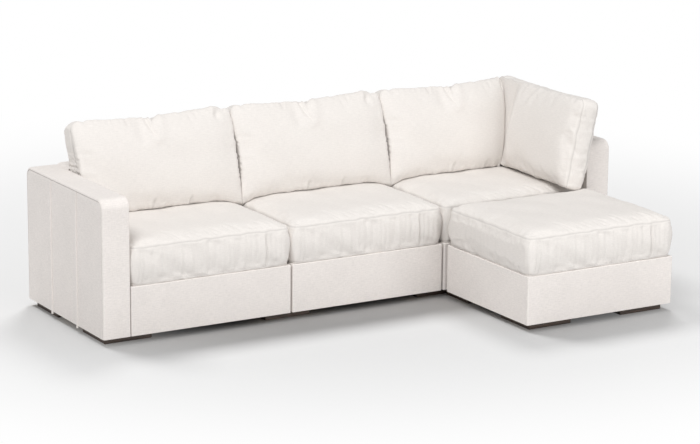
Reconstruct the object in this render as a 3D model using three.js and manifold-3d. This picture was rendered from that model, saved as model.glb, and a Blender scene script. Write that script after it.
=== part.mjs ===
// Sectional sofa with chaise: a row of three seat modules with an arm, three backs and a side
// panel, and a fourth seat module that stands in front of the end seat as its chaise.
// Millimetres, +Z up, front of the row towards -Y. The origin lies on the floor under the middle.
import * as THREE from "three";
import { mergeVertices } from "three/addons/utils/BufferGeometryUtils.js";
import Module from "manifold-3d";

const wasm = await Module();
wasm.setup();

// Driving dimensions of the layout
const seatCount = 3;
const seatWidth = 880;
const seatGap = 9; // open line between the covers of two seats
const sideGap = 4; // open line between the covers of two backs
const sideThickness = 143;
const backGap = 5; // between a seat base and the back behind it
const chaiseGap = 27; // between the row and the chaise
const sideTop = 721; // floor to the top of an arm or back
const baseTop = 280; // floor to the top of a seat base

// Clearances and small shared sizes
const fit = 0.3; // between two pieces that touch
const overrun = 20; // how far a cutting shape runs past the face it cuts
const hem = 0.3; // from the top of a foot block to the hem of a cover
const peak = 0.6; // between a cushion and the soft piece that rests on it

// Foot blocks and the pegs that stand in them
const blockSide = 254;
const blockHeight = 35;
const blockCorner = 6;
const blockBevel = 3;
const rowBlockInset = 45; // from the front and the back of the row
const endBlockInset = 25; // from the outer face of an arm
const chaiseBlockInset = 36;
const rearBlockReach = 151; // of the chaise's rear blocks, forward of its rear face
const rearBlockTuck = 55; // of the same blocks, back under the row
const pegRadius = 16;
const pegLength = 18;
const pegClearance = 0.6; // round the peg and under it
const pegInset = 95; // of a peg's axis from the edge of its module
const pegSides = 12;

// Covers and padding
const coverThickness = 3;
const baseCorner = 8;
const baseBevel = 6;
const sideCorner = 50; // top corners of an arm or back, seen from its side
const sideBevel = 11;
const sideFoam = 14;
const panelCount = 3; // panels that the long faces of a side cover are sewn from
const panelGrooveWidth = 5;
const panelGrooveDepth = 1.2;

// Seat frame
const railThickness = 22;
const joistCount = 2;
const joistThickness = 28;
const joistHeight = 90;
const gussetWall = 18; // wood between a peg and the long side of its corner gusset
const gussetHeight = 70;
const dustCoverThickness = 1.5;

// Spring deck
const springCount = 4;
const springLoops = 6; // half turns of one spring's zigzag
const springReach = 42; // of a half turn to each side of the spring's own line
const loopShare = 0.85; // of the pitch of the zigzag, taken by the flat of a half turn
const wireSize = 4.2;
const tieCount = 1;
const tieSize = 3;
const clipLength = 30;
const clipWidth = 24;
const clipSetback = 2; // of a clip from the outer face of its rail
const clipFloor = 1.5; // metal under the wire
const clipLip = 1.2; // of the wire above the clip
const deckPadThickness = 12;

// Side frame
const postWidth = 58;
const stileWidth = 42;
const railWidth = 60;
const windowCount = 3;
const windowCorner = 18;

// Coupling plates under the row
const plateLength = 120;
const plateWidth = 60;
const plateThickness = 3;
const plateCorner = 8;
const screwRadius = 6;
const screwHeight = 2;
const screwInset = 16;
const screwSides = 6;

// Seat cushions: a boxed cushion with a crowned top
const cushionInset = 26; // of the seams from the edges of the module, along the row
const cushionEdge = 8; // of the seams from the edges of the module, front to back
const cushionSeamHeight = 465; // floor to the top seam
const cushionFootSeam = 12; // bottom seam above the base
const cushionCrown = 48;
const cushionBulge = 17; // of the long boxing, sideways
const cushionFrontBulge = 6;
const cushionDraw = 5; // how far the seams pull in between the corners
const cushionCornerPull = 14;

// Back pillows: boxed pillows that lean on the backs
const pillowHeight = 486; // seam to seam
const pillowBoxing = 90;
const pillowFrontCrown = 82;
const pillowBackCrown = 30;
const pillowLean = 17; // degrees
const pillowFromBack = 91; // from the back's inner face to the pillow's middle
const pillowSeat = 25; // from the cushions' top seam up to the pillow's lower seams
const pillowGap = 6; // between the pillow and the line between two modules
const pillowBulge = 10;
const pillowDraw = 6;
const pillowCornerPull = 26;
const cornerPillowOverhang = 127; // past the front of the row
const cornerPillowFromBack = 42; // from the back's inner face to the pillow's end
const cornerPillowLean = 12; // degrees
const cornerPillowFromPanel = 125; // from the panel's inner face to the pillow's middle
const cornerPillowSeat = 42; // from the cushions' top seam up to the pillow's lower seams
const cornerPillowFrontCrown = 66;
const cornerPillowBackCrown = 74;
const pressedEnd = 150; // length at the rear of the corner pillow that the third pillow holds flat
const pressedRun = 180; // from there to its full crown

// Facets of rounded corners and eased edges, seen and hidden
const seenSegments = 2;
const hiddenSegments = 1;

// Facets of the soft forms
const acrossFacets = 12;
const alongFacets = 10;
const boxingRows = 3;

// How square the crown of a cushion is between its seams; 2 is a plain ellipse
const cushionFullness = 3;
const pillowFullness = 2.4;
const cornerSharpness = 4; // how near its corners a cushion's outline draws in

const mergeDistance = 1e-4; // between points that are one point

// Sizes that follow
const pitch = seatWidth + seatGap;
const sideLength = pitch - sideGap;
const seatDepth = sideLength - sideThickness - backGap;
const rowLeft = (-seatCount * pitch) / 2; // inner face of the left arm
const rowRight = -rowLeft; // inner face of the right side panel
const rowFront = (seatDepth + chaiseGap - sideLength) / 2;
const rowBack = rowFront + sideLength;
const chaiseFront = rowFront - chaiseGap - seatDepth;
const moduleBottom = blockHeight + hem;
const padTop = baseTop - coverThickness - fit;
const wireTop = padTop - deckPadThickness - fit;
const railTop = wireTop - wireSize - clipFloor - fit;
const frameWidth = seatWidth - 2 * (coverThickness + fit);
const frameDepth = seatDepth - 2 * (coverThickness + fit);
const pegFromRail = pegInset - coverThickness - fit - railThickness;
const gussetSide = 2 * pegFromRail + railThickness / 2 + Math.SQRT2 * (pegRadius + gussetWall);
const chaiseColumn = seatCount - 1; // the chaise stands in front of the last seat
const backInner = rowBack - sideThickness; // inner face of the backs
const cornerPillowFront = rowFront - cornerPillowOverhang;
const cornerPillowLength = backInner - cornerPillowFromBack - cornerPillowFront;

// Finishes
const finish = {
  cover: { color: 0xe9e4de, roughness: 0.95, metalness: 0 },
  cushion: { color: 0xece8e3, roughness: 0.95, metalness: 0 },
  foam: { color: 0xe8dcb4, roughness: 0.9, metalness: 0 },
  liner: { color: 0x2b2a2a, roughness: 0.9, metalness: 0 },
  frame: { color: 0xc9a778, roughness: 0.7, metalness: 0 },
  block: { color: 0x3a2a20, roughness: 0.55, metalness: 0 },
  wire: { color: 0x6f7276, roughness: 0.35, metalness: 0.9 },
  plate: { color: 0x8d9095, roughness: 0.4, metalness: 0.9 },
};

// Solids and booleans

/** A closed geometry as a solid that can be cut and joined. */
function solidOf(geometry) {
  const bare = geometry.clone();
  for (const name of Object.keys(bare.attributes)) {
    if (name !== "position") bare.deleteAttribute(name);
  }
  const merged = mergeVertices(bare, mergeDistance);
  return new wasm.Manifold(
    new wasm.Mesh({
      numProp: 3,
      vertProperties: new Float32Array(merged.attributes.position.array),
      triVerts: new Uint32Array(merged.index.array),
    }),
  );
}

/** The geometry of a solid. */
function geometryOf(solid) {
  const mesh = solid.getMesh();
  const geometry = new THREE.BufferGeometry();
  geometry.setAttribute("position", new THREE.BufferAttribute(mesh.vertProperties, 3));
  geometry.setIndex(new THREE.BufferAttribute(mesh.triVerts, 1));
  geometry.computeVertexNormals();
  return geometry;
}

/** The first geometry with the others joined to it. */
function join(...geometries) {
  return geometryOf(geometries.map(solidOf).reduce((whole, part) => whole.add(part)));
}

/** The first geometry with the others cut out of it. */
function cut(body, ...tools) {
  return geometryOf(tools.map(solidOf).reduce((whole, tool) => whole.subtract(tool), solidOf(body)));
}

/** A box between two opposite corners. */
function box([x0, y0, z0], [x1, y1, z1]) {
  const geometry = new THREE.BoxGeometry(x1 - x0, y1 - y0, z1 - z0);
  return geometry.translate((x0 + x1) / 2, (y0 + y1) / 2, (z0 + z1) / 2);
}

/** A rectangle about the origin, each corner with its own radius, as a shape or a path. */
function roundedRectangle(width, height, radii, Kind = THREE.Shape) {
  const [bottomLeft, bottomRight, topRight, topLeft] = radii;
  const [x, y] = [width / 2, height / 2];
  const outline = new Kind();
  outline.moveTo(-x + bottomLeft, -y);
  outline.lineTo(x - bottomRight, -y);
  if (bottomRight) outline.absarc(x - bottomRight, -y + bottomRight, bottomRight, -Math.PI / 2, 0);
  outline.lineTo(x, y - topRight);
  if (topRight) outline.absarc(x - topRight, y - topRight, topRight, 0, Math.PI / 2);
  outline.lineTo(-x + topLeft, y);
  if (topLeft) outline.absarc(-x + topLeft, y - topLeft, topLeft, Math.PI / 2, Math.PI);
  outline.lineTo(-x, -y + bottomLeft);
  if (bottomLeft) outline.absarc(-x + bottomLeft, -y + bottomLeft, bottomLeft, Math.PI, 1.5 * Math.PI);
  outline.closePath();
  return outline;
}

/** A rounded upright slab about the Z axis from bottom to top, with eased edges above and below. */
function slab({ width, depth, bottom, top, corner, bevel = 0, segments = hiddenSegments }) {
  const radii = Array(4).fill(Math.max(corner - bevel, 0));
  const shape = roundedRectangle(width - 2 * bevel, depth - 2 * bevel, radii);
  const geometry = new THREE.ExtrudeGeometry(shape, {
    depth: top - bottom - 2 * bevel,
    bevelEnabled: bevel > 0,
    bevelThickness: bevel,
    bevelSize: bevel,
    bevelSegments: segments,
    curveSegments: segments,
  });
  return geometry.translate(0, 0, bottom + bevel);
}

/** An upright round pin. */
function pin(radius, bottom, top, sides, x, y) {
  const geometry = new THREE.CylinderGeometry(radius, radius, top - bottom, sides);
  return geometry.rotateX(Math.PI / 2).translate(x, y, (bottom + top) / 2);
}

/** Points of a straight line of equal steps from -half to half. */
function evenSteps(count, half) {
  return Array.from({ length: count }, (_, i) => -half + ((i + 0.5) * 2 * half) / count);
}

/** The four places at equal distances from the middle of a rectangle. */
function fourCorners(x, y) {
  return [
    [-x, -y],
    [x, -y],
    [x, y],
    [-x, y],
  ];
}

// Foot blocks

/** A block with a socket for each peg that stands in it; pegs are [x, y] from its middle. */
function footBlock(width, depth, pegs) {
  const body = slab({ width, depth, bottom: 0, top: blockHeight, corner: blockCorner, bevel: blockBevel });
  const floor = moduleBottom - pegLength - pegClearance;
  const sockets = pegs.map(([x, y]) =>
    pin(pegRadius + pegClearance, floor, blockHeight + overrun, pegSides, x, y),
  );
  return cut(body, ...sockets);
}

// Seat base, about the middle of its plan

const pegPlaces = fourCorners(seatWidth / 2 - pegInset, seatDepth / 2 - pegInset);

/** Four rails, two joists, and a gusset with a peg in each corner. */
function seatFrame() {
  const outline = roundedRectangle(frameWidth, frameDepth, Array(4).fill(baseCorner - coverThickness));
  const inner = { width: frameWidth - 2 * railThickness, depth: frameDepth - 2 * railThickness };
  outline.holes.push(roundedRectangle(inner.width, inner.depth, [0, 0, 0, 0], THREE.Path));
  const ring = new THREE.ExtrudeGeometry(outline, {
    depth: railTop - moduleBottom,
    bevelEnabled: false,
    curveSegments: hiddenSegments,
  }).translate(0, 0, moduleBottom);

  const joistBottom = moduleBottom + dustCoverThickness + fit;
  const reach = frameDepth / 2 - railThickness / 2;
  const bay = inner.width / (joistCount + 1);
  const joists = Array.from({ length: joistCount }, (_, i) => {
    const x = -inner.width / 2 + (i + 1) * bay;
    return box(
      [x - joistThickness / 2, -reach, joistBottom],
      [x + joistThickness / 2, reach, joistBottom + joistHeight],
    );
  });

  const lap = railThickness / 2;
  const gussets = fourCorners(inner.width / 2 + lap, inner.depth / 2 + lap).map(([x, y]) => {
    const [toX, toY] = [-Math.sign(x) * (gussetSide + lap), -Math.sign(y) * (gussetSide + lap)];
    const corners = [
      [x, y],
      [x + toX, y],
      [x, y + toY],
    ];
    if (toX * toY < 0) corners.reverse();
    const shape = new THREE.Shape(corners.map(([u, v]) => new THREE.Vector2(u, v)));
    return new THREE.ExtrudeGeometry(shape, { depth: gussetHeight, bevelEnabled: false }).translate(
      0,
      0,
      moduleBottom,
    );
  });

  const pegs = pegPlaces.map(([x, y]) =>
    pin(pegRadius, moduleBottom - pegLength, moduleBottom + gussetHeight / 2, pegSides, x, y),
  );
  return join(ring, ...joists, ...gussets, ...pegs);
}

/** One zigzag spring from the front rail to the back rail, as an unbroken wire on a clip at each end. */
function zigzagSpring(x) {
  const end = frameDepth / 2 - railThickness / 2;
  const run = end - railThickness;
  const loop = (2 * run) / springLoops;
  const height = wireTop - wireSize / 2;
  const points = [new THREE.Vector3(x, -end, height)];
  for (let i = 0; i < springLoops; i++) {
    const side = i % 2 ? -springReach : springReach;
    const middle = -run + (i + 0.5) * loop;
    const flat = (loopShare * loop) / 2;
    points.push(new THREE.Vector3(x + side, middle - flat / 2, height));
    points.push(new THREE.Vector3(x + side, middle + flat / 2, height));
  }
  points.push(new THREE.Vector3(x, end, height));

  const rings = points.map((point, i) => {
    const before = points[Math.max(i - 1, 0)];
    const after = points[Math.min(i + 1, points.length - 1)];
    const incoming = point.clone().sub(before).normalize();
    const outgoing = after.clone().sub(point).normalize();
    const along = incoming.clone().add(outgoing).normalize();
    const across = new THREE.Vector3(along.y, -along.x, 0);
    const mitre = wireSize / 2 / along.dot(i ? incoming : outgoing);
    return { point, across: across.multiplyScalar(mitre) };
  });
  const positions = rings.flatMap(({ point, across }) =>
    [
      [-1, -1],
      [1, -1],
      [1, 1],
      [-1, 1],
    ].flatMap(([side, up]) => [
      point.x + side * across.x,
      point.y + side * across.y,
      point.z + (up * wireSize) / 2,
    ]),
  );
  const faces = [];
  for (let i = 0; i + 1 < rings.length; i++) {
    for (let k = 0; k < 4; k++) {
      const [a, b] = [4 * i + k, 4 * i + ((k + 1) % 4)];
      faces.push(a, b + 4, b, a, a + 4, b + 4);
    }
  }
  const last = 4 * (rings.length - 1);
  faces.push(0, 1, 2, 0, 2, 3, last, last + 2, last + 1, last, last + 3, last + 2);
  const wire = new THREE.BufferGeometry();
  wire.setAttribute("position", new THREE.Float32BufferAttribute(positions, 3));
  wire.setIndex(faces);

  const outer = frameDepth / 2 - clipSetback;
  const clips = [-1, 1].map((side) => {
    const [near, far] = [side * (outer - clipLength), side * outer].sort((a, b) => a - b);
    const floor = wireTop - wireSize - clipFloor;
    return box([x - clipWidth / 2, near, floor], [x + clipWidth / 2, far, wireTop - clipLip]);
  });
  return [wire, ...clips];
}

/** Zigzag springs side by side, tied across by straight wires. */
function springDeck() {
  const half = frameWidth / 2 - railThickness;
  const lines = evenSteps(springCount, half);
  const tieReach = lines[springCount - 1] + springReach + tieSize;
  const middle = wireTop - wireSize / 2;
  const ties = evenSteps(tieCount, frameDepth / 2 - railThickness).map((y) =>
    box([-tieReach, y - tieSize / 2, middle - tieSize / 2], [tieReach, y + tieSize / 2, middle + tieSize / 2]),
  );
  return join(...lines.flatMap(zigzagSpring), ...ties);
}

/** Felt pad between the springs and the cover. */
function deckPad() {
  return slab({
    width: frameWidth,
    depth: frameDepth,
    bottom: wireTop + fit,
    top: padTop,
    corner: baseCorner - coverThickness,
  });
}

/** Fitted fabric box over the frame, open below. */
function baseCover() {
  const outer = slab({
    width: seatWidth,
    depth: seatDepth,
    bottom: moduleBottom - overrun,
    top: baseTop,
    corner: baseCorner,
    bevel: baseBevel,
    segments: seenSegments,
  });
  const inner = slab({
    width: seatWidth - 2 * coverThickness,
    depth: seatDepth - 2 * coverThickness,
    bottom: -overrun,
    top: baseTop - coverThickness,
    corner: baseCorner - coverThickness,
  });
  const below = box([-seatWidth, -seatDepth, -overrun], [seatWidth, seatDepth, moduleBottom]);
  return cut(outer, inner, below);
}

/** Thin liner that closes the frame from below, cut away at the gussets. */
function dustCover() {
  const x = frameWidth / 2 - railThickness - fit;
  const y = frameDepth / 2 - railThickness - fit;
  const clear = gussetSide + 2 * fit;
  const outline = [
    [x - clear, -y],
    [x, -y + clear],
    [x, y - clear],
    [x - clear, y],
    [-x + clear, y],
    [-x, y - clear],
    [-x, -y + clear],
    [-x + clear, -y],
  ].map(([u, v]) => new THREE.Vector2(u, v));
  return new THREE.ExtrudeGeometry(new THREE.Shape(outline), {
    depth: dustCoverThickness,
    bevelEnabled: false,
  }).translate(0, 0, moduleBottom);
}

// Arm, back and side panel: one upright module, length along X, about the middle of its plan

/** The module's outer form less a margin all round, from a given height up. */
function sideForm(margin, bottom, segments = hiddenSegments) {
  const bevel = Math.max(sideBevel - margin, 0);
  const length = sideLength - 2 * margin;
  const top = sideTop - margin;
  const height = top - bottom;
  const corner = sideCorner - margin - bevel;
  const shape = roundedRectangle(length - 2 * bevel, height - 2 * bevel, [0, 0, corner, corner]);
  return new THREE.ExtrudeGeometry(shape, {
    depth: sideThickness - 2 * margin - 2 * bevel,
    bevelEnabled: bevel > 0,
    bevelThickness: bevel,
    bevelSize: bevel,
    bevelSegments: segments,
    curveSegments: 2 * segments,
  })
    .translate(0, bottom + height / 2, -(sideThickness - 2 * margin - 2 * bevel) / 2)
    .rotateX(Math.PI / 2);
}

/** Everything of the module's plan below its hem. */
function belowHem() {
  return box([-sideLength, -sideThickness, -2 * overrun], [sideLength, sideThickness, moduleBottom]);
}

/** Ladder frame with three windows and two pegs. */
function sideFrame() {
  const margin = coverThickness + sideFoam + 2 * fit;
  const length = sideLength - 2 * margin;
  const height = sideTop - margin - moduleBottom;
  const corner = sideCorner - margin;
  const shape = roundedRectangle(length, height, [0, 0, corner, corner]);
  const stiles = windowCount - 1;
  const windowWidth = (length - 2 * postWidth - stiles * stileWidth) / windowCount;
  for (let i = 0; i < windowCount; i++) {
    const x = -length / 2 + postWidth + windowWidth / 2 + i * (windowWidth + stileWidth);
    const hole = roundedRectangle(
      windowWidth,
      height - 2 * railWidth,
      Array(4).fill(windowCorner),
      THREE.Path,
    );
    hole.curves.forEach((curve) => moveCurve(curve, x));
    hole.currentPoint.x += x;
    shape.holes.push(hole);
  }
  const depth = sideThickness - 2 * margin;
  const ladder = new THREE.ExtrudeGeometry(shape, { depth, bevelEnabled: false, curveSegments: hiddenSegments })
    .translate(0, moduleBottom + height / 2, -depth / 2)
    .rotateX(Math.PI / 2);
  const pegs = [-1, 1].map((side) =>
    pin(
      pegRadius,
      moduleBottom - pegLength,
      moduleBottom + railWidth / 2,
      pegSides,
      side * (sideLength / 2 - pegInset),
      0,
    ),
  );
  return join(ladder, ...pegs);
}

/** Shifts a line or an arc of a path along X. */
function moveCurve(curve, x) {
  if (curve.isLineCurve) {
    curve.v1.x += x;
    curve.v2.x += x;
  } else {
    curve.aX += x;
  }
}

/** Foam round the ladder frame, open below. */
function sidePadding() {
  const margin = coverThickness + fit;
  const outer = sideForm(margin, moduleBottom - overrun);
  const inner = sideForm(margin + sideFoam, -overrun);
  return cut(outer, inner, belowHem());
}

/** Fitted fabric cover with its panel seams, open below. */
function sideCover() {
  const outer = sideForm(0, moduleBottom - overrun, seenSegments);
  const inner = sideForm(coverThickness, -overrun);
  const grooves = [];
  for (let i = 1; i < panelCount; i++) {
    const x = -sideLength / 2 + (i * sideLength) / panelCount;
    for (const side of [-1, 1]) {
      const face = (side * sideThickness) / 2;
      const [near, far] = [face - side * panelGrooveDepth, face + side * overrun].sort((a, b) => a - b);
      grooves.push(
        box(
          [x - panelGrooveWidth / 2, near, moduleBottom - overrun],
          [x + panelGrooveWidth / 2, far, sideTop - sideBevel],
        ),
      );
    }
  }
  return cut(outer, inner, belowHem(), ...grooves);
}

/** Flat plate under two neighbouring modules, with four screw heads. */
function couplingPlate() {
  const top = blockHeight;
  const plate = slab({
    width: plateLength,
    depth: plateWidth,
    bottom: top - plateThickness,
    top,
    corner: plateCorner,
  });
  const heads = fourCorners(plateLength / 2 - screwInset, plateWidth / 2 - screwInset).map(([x, y]) =>
    pin(screwRadius, top - plateThickness - screwHeight, top - plateThickness / 2, screwSides, x, y),
  );
  return join(plate, ...heads);
}

// Cushions

/** Share of the crown at a place on the face, full in the middle and nothing at the seams. */
function crownShare(s, t, fullness) {
  return Math.sqrt((1 - Math.abs(s) ** fullness) * (1 - Math.abs(t) ** fullness));
}

/**
 * A boxed cushion about the origin, its faces towards +Z and -Z. The seams lie at width and
 * depth, pulled in between the corners; the boxing swells between them; both faces are crowned.
 */
function boxedCushion(size) {
  const { width, depth, boxing, crownAbove, crownBelow, fullness } = size;
  const { swell, swellFront, draw, cornerPull } = size;
  const [columns, rows] = [acrossFacets, alongFacets];
  const ease = (i, count) => Math.sin((Math.PI / 2) * ((2 * i) / count - 1));
  const outline = (s, t) => {
    const pull = cornerPull * Math.abs(s * t) ** cornerSharpness;
    return [
      s * (width / 2 - draw * (1 - t * t) - pull),
      t * (depth / 2 - draw * (1 - s * s) - pull),
    ];
  };
  const positions = [];
  const put = (x, y, z) => positions.push(x, y, z) / 3 - 1;

  const face = (up, crown) => {
    const grid = [];
    for (let j = 0; j <= rows; j++) {
      for (let i = 0; i <= columns; i++) {
        const [s, t] = [ease(i, columns), ease(j, rows)];
        const [x, y] = outline(s, t);
        grid.push(put(x, y, up * (boxing / 2 + crown * crownShare(s, t, fullness))));
      }
    }
    return grid;
  };
  const above = face(1, crownAbove);
  const below = face(-1, crownBelow);

  const rim = [];
  for (let i = 0; i < columns; i++) rim.push([i, 0]);
  for (let j = 0; j < rows; j++) rim.push([columns, j]);
  for (let i = columns; i > 0; i--) rim.push([i, rows]);
  for (let j = rows; j > 0; j--) rim.push([0, j]);

  const rimRow = (level) => {
    if (level === 0) return rim.map(([i, j]) => below[j * (columns + 1) + i]);
    if (level === boxingRows) return rim.map(([i, j]) => above[j * (columns + 1) + i]);
    const out = Math.sin((Math.PI * level) / boxingRows);
    return rim.map(([i, j]) => {
      const [s, t] = [ease(i, columns), ease(j, rows)];
      const [x, y] = outline(s, t);
      const across = Math.abs(s) === 1 ? Math.sign(s) * swell * out : 0;
      const along = Math.abs(t) === 1 ? Math.sign(t) * swellFront * out : 0;
      return put(x + across, y + along, boxing * (level / boxingRows - 0.5));
    });
  };
  const levels = Array.from({ length: boxingRows + 1 }, (_, level) => rimRow(level));

  const faces = [];
  for (let j = 0; j < rows; j++) {
    for (let i = 0; i < columns; i++) {
      const a = j * (columns + 1) + i;
      const [b, c, d] = [a + 1, a + columns + 2, a + columns + 1];
      faces.push(above[a], above[b], above[c], above[a], above[c], above[d]);
      faces.push(below[a], below[c], below[b], below[a], below[d], below[c]);
    }
  }
  for (let level = 0; level < boxingRows; level++) {
    for (let k = 0; k < rim.length; k++) {
      const next = (k + 1) % rim.length;
      const [a, b] = [levels[level][k], levels[level][next]];
      const [c, d] = [levels[level + 1][next], levels[level + 1][k]];
      faces.push(a, b, c, a, c, d);
    }
  }
  const geometry = new THREE.BufferGeometry();
  geometry.setAttribute("position", new THREE.Float32BufferAttribute(positions, 3));
  geometry.setIndex(faces);
  return geometry;
}

/** A geometry with each point moved by a function of the point. */
function reshaped(geometry, move) {
  const place = geometry.attributes.position;
  const point = new THREE.Vector3();
  for (let i = 0; i < place.count; i++) {
    point.fromBufferAttribute(place, i);
    move(point);
    place.setXYZ(i, point.x, point.y, point.z);
  }
  return geometry;
}

/** A seat cushion about the middle of its module's plan. */
function seatCushion() {
  const bottom = baseTop + fit;
  const footSeam = baseTop + cushionFootSeam;
  const cushion = boxedCushion({
    width: seatWidth - 2 * cushionInset,
    depth: seatDepth - 2 * cushionEdge,
    boxing: cushionSeamHeight - footSeam,
    crownAbove: cushionCrown,
    crownBelow: footSeam - bottom,
    fullness: cushionFullness,
    swell: cushionBulge,
    swellFront: cushionFrontBulge,
    draw: cushionDraw,
    cornerPull: cushionCornerPull,
  });
  cushion.translate(0, 0, (cushionSeamHeight + footSeam) / 2);
  return cushion;
}

/** A pillow upright: width along X, height along Z, its front towards -Y. */
function uprightPillow(width, frontCrown, backCrown) {
  return boxedCushion({
    width: width - 2 * pillowBulge,
    depth: pillowHeight,
    boxing: pillowBoxing,
    crownAbove: frontCrown,
    crownBelow: backCrown,
    fullness: pillowFullness,
    swell: pillowBulge,
    swellFront: pillowBulge,
    draw: pillowDraw,
    cornerPull: pillowCornerPull,
  }).rotateX(Math.PI / 2);
}

/** Height of a leaning pillow's middle, from the height of its lower seams over the cushions' top seam. */
function middleHeight(seat, lean) {
  return cushionSeamHeight + seat + (pillowHeight / 2) * Math.cos(THREE.MathUtils.degToRad(lean));
}

/** A back pillow between two places along the row, leaning on the backs. */
function backPillow(left, right) {
  const pillow = uprightPillow(right - left, pillowFrontCrown, pillowBackCrown);
  pillow.rotateX(-THREE.MathUtils.degToRad(pillowLean));
  return pillow.translate(
    (left + right) / 2,
    backInner - pillowFromBack,
    middleHeight(pillowSeat, pillowLean),
  );
}

/** The pillow across the corner, leaning on the side panel, its front flat where another presses it. */
function cornerPillow() {
  const pillow = uprightPillow(cornerPillowLength, cornerPillowFrontCrown, cornerPillowBackCrown);
  const seam = -pillowBoxing / 2;
  const flat = pressedEnd - cornerPillowLength / 2;
  reshaped(pillow, (point) => {
    if (point.y > seam) return;
    const share = THREE.MathUtils.smoothstep(point.x, flat, flat + pressedRun);
    point.y = seam + share * (point.y - seam);
  });
  pillow.rotateX(-THREE.MathUtils.degToRad(cornerPillowLean)).rotateZ(-Math.PI / 2);
  return pillow.translate(
    rowRight - cornerPillowFromPanel,
    cornerPillowFront + cornerPillowLength / 2,
    middleHeight(cornerPillowSeat, cornerPillowLean),
  );
}

/** The third pillow, whose end is pressed aslant by the corner pillow. */
function pressedPillow(left) {
  const lean = THREE.MathUtils.degToRad(cornerPillowLean);
  const right = rowRight - cornerPillowFromPanel - pillowBoxing / 2 / Math.cos(lean) - pillowGap;
  const slant = Math.tan(lean);
  const middle = middleHeight(cornerPillowSeat, cornerPillowLean);
  return reshaped(backPillow(left, right), (point) => {
    const share = (point.x - left) / (right - left);
    point.x += share * slant * (point.z - middle);
  });
}

// The whole sofa

const sofa = new THREE.Group();

/** Adds a named piece with its own finish to a group. */
function piece(group, name, geometry, look) {
  const mesh = new THREE.Mesh(geometry, new THREE.MeshStandardMaterial(look));
  mesh.name = name;
  group.add(mesh);
}

/** A group at a place, turned about the vertical. */
function placed(x, y, turn = 0) {
  const group = new THREE.Group();
  group.position.set(x, y, 0);
  group.rotation.z = turn;
  sofa.add(group);
  return group;
}

const columnMiddle = (i) => rowLeft + (i + 0.5) * pitch;

/** A seat module: frame, springs, pad, cover, liner and cushion. */
function addSeat(name, x, y) {
  const module = placed(x, y);
  piece(module, name + "_frame", seatFrame(), finish.frame);
  piece(module, name + "_springs", springDeck(), finish.wire);
  piece(module, name + "_deck_pad", deckPad(), finish.foam);
  piece(module, name + "_cover", baseCover(), finish.cover);
  piece(module, name + "_dust_cover", dustCover(), finish.liner);
  piece(module, name + "_cushion", seatCushion(), finish.cushion);
}

/** An upright module: frame, padding and cover. */
function addSide(name, x, y, turn) {
  const module = placed(x, y, turn);
  piece(module, name + "_frame", sideFrame(), finish.frame);
  piece(module, name + "_padding", sidePadding(), finish.foam);
  piece(module, name + "_cover", sideCover(), finish.cover);
}

const seatMiddle = rowFront + seatDepth / 2;
const chaiseMiddle = chaiseFront + seatDepth / 2;
for (let i = 0; i < seatCount; i++) addSeat("seat_" + (i + 1), columnMiddle(i), seatMiddle);
addSeat("chaise", columnMiddle(chaiseColumn), chaiseMiddle);

const armMiddle = rowFront + sideLength / 2;
const backMiddle = rowBack - sideThickness / 2;
addSide("left_arm", rowLeft - sideThickness / 2, armMiddle, Math.PI / 2);
for (let i = 0; i < seatCount; i++) addSide("back_" + (i + 1), columnMiddle(i), backMiddle, 0);
addSide("right_side", rowRight + sideThickness / 2, armMiddle, Math.PI / 2);

// Every peg of the row in plan, so that each block gets the sockets of the pegs above it
const rowPegs = [];
for (let i = 0; i < seatCount; i++) {
  for (const [x, y] of pegPlaces) rowPegs.push([columnMiddle(i) + x, seatMiddle + y]);
  for (const side of [-1, 1]) {
    rowPegs.push([columnMiddle(i) + side * (sideLength / 2 - pegInset), backMiddle]);
  }
}
for (const x of [rowLeft - sideThickness / 2, rowRight + sideThickness / 2]) {
  for (const side of [-1, 1]) rowPegs.push([x, armMiddle + side * (sideLength / 2 - pegInset)]);
}

/** A foot block over a rectangle of the floor, with a socket under each peg inside it. */
function addBlock(name, [x0, x1], [y0, y1], pegs) {
  const [x, y] = [(x0 + x1) / 2, (y0 + y1) / 2];
  const [halfWidth, halfDepth] = [(x1 - x0) / 2, (y1 - y0) / 2];
  const inside = pegs
    .map(([px, py]) => [px - x, py - y])
    .filter(([px, py]) => Math.abs(px) < halfWidth && Math.abs(py) < halfDepth);
  piece(placed(x, y), name, footBlock(2 * halfWidth, 2 * halfDepth, inside), finish.block);
}

for (let i = 0; i <= seatCount; i++) {
  let left = rowLeft + i * pitch - blockSide / 2;
  if (i === 0) left = rowLeft - sideThickness + endBlockInset;
  if (i === seatCount) left = rowRight + sideThickness - endBlockInset - blockSide;
  const across = [left, left + blockSide];
  const front = rowFront + rowBlockInset;
  const back = rowBack - rowBlockInset;
  addBlock("foot_front_" + (i + 1), across, [front, front + blockSide], rowPegs);
  addBlock("foot_back_" + (i + 1), across, [back - blockSide, back], rowPegs);
}

const chaisePegs = pegPlaces.map(([x, y]) => [columnMiddle(chaiseColumn) + x, chaiseMiddle + y]);
for (const side of [-1, 1]) {
  const outer = columnMiddle(chaiseColumn) + side * (seatWidth / 2 - chaiseBlockInset);
  const across = [outer, outer - side * blockSide].sort((a, b) => a - b);
  const front = chaiseFront + chaiseBlockInset;
  const rear = chaiseFront + seatDepth;
  const hand = side < 0 ? "left" : "right";
  addBlock("chaise_foot_front_" + hand, across, [front, front + blockSide], chaisePegs);
  addBlock("chaise_foot_rear_" + hand, across, [rear - rearBlockReach, rear + rearBlockTuck], chaisePegs);
}

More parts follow.
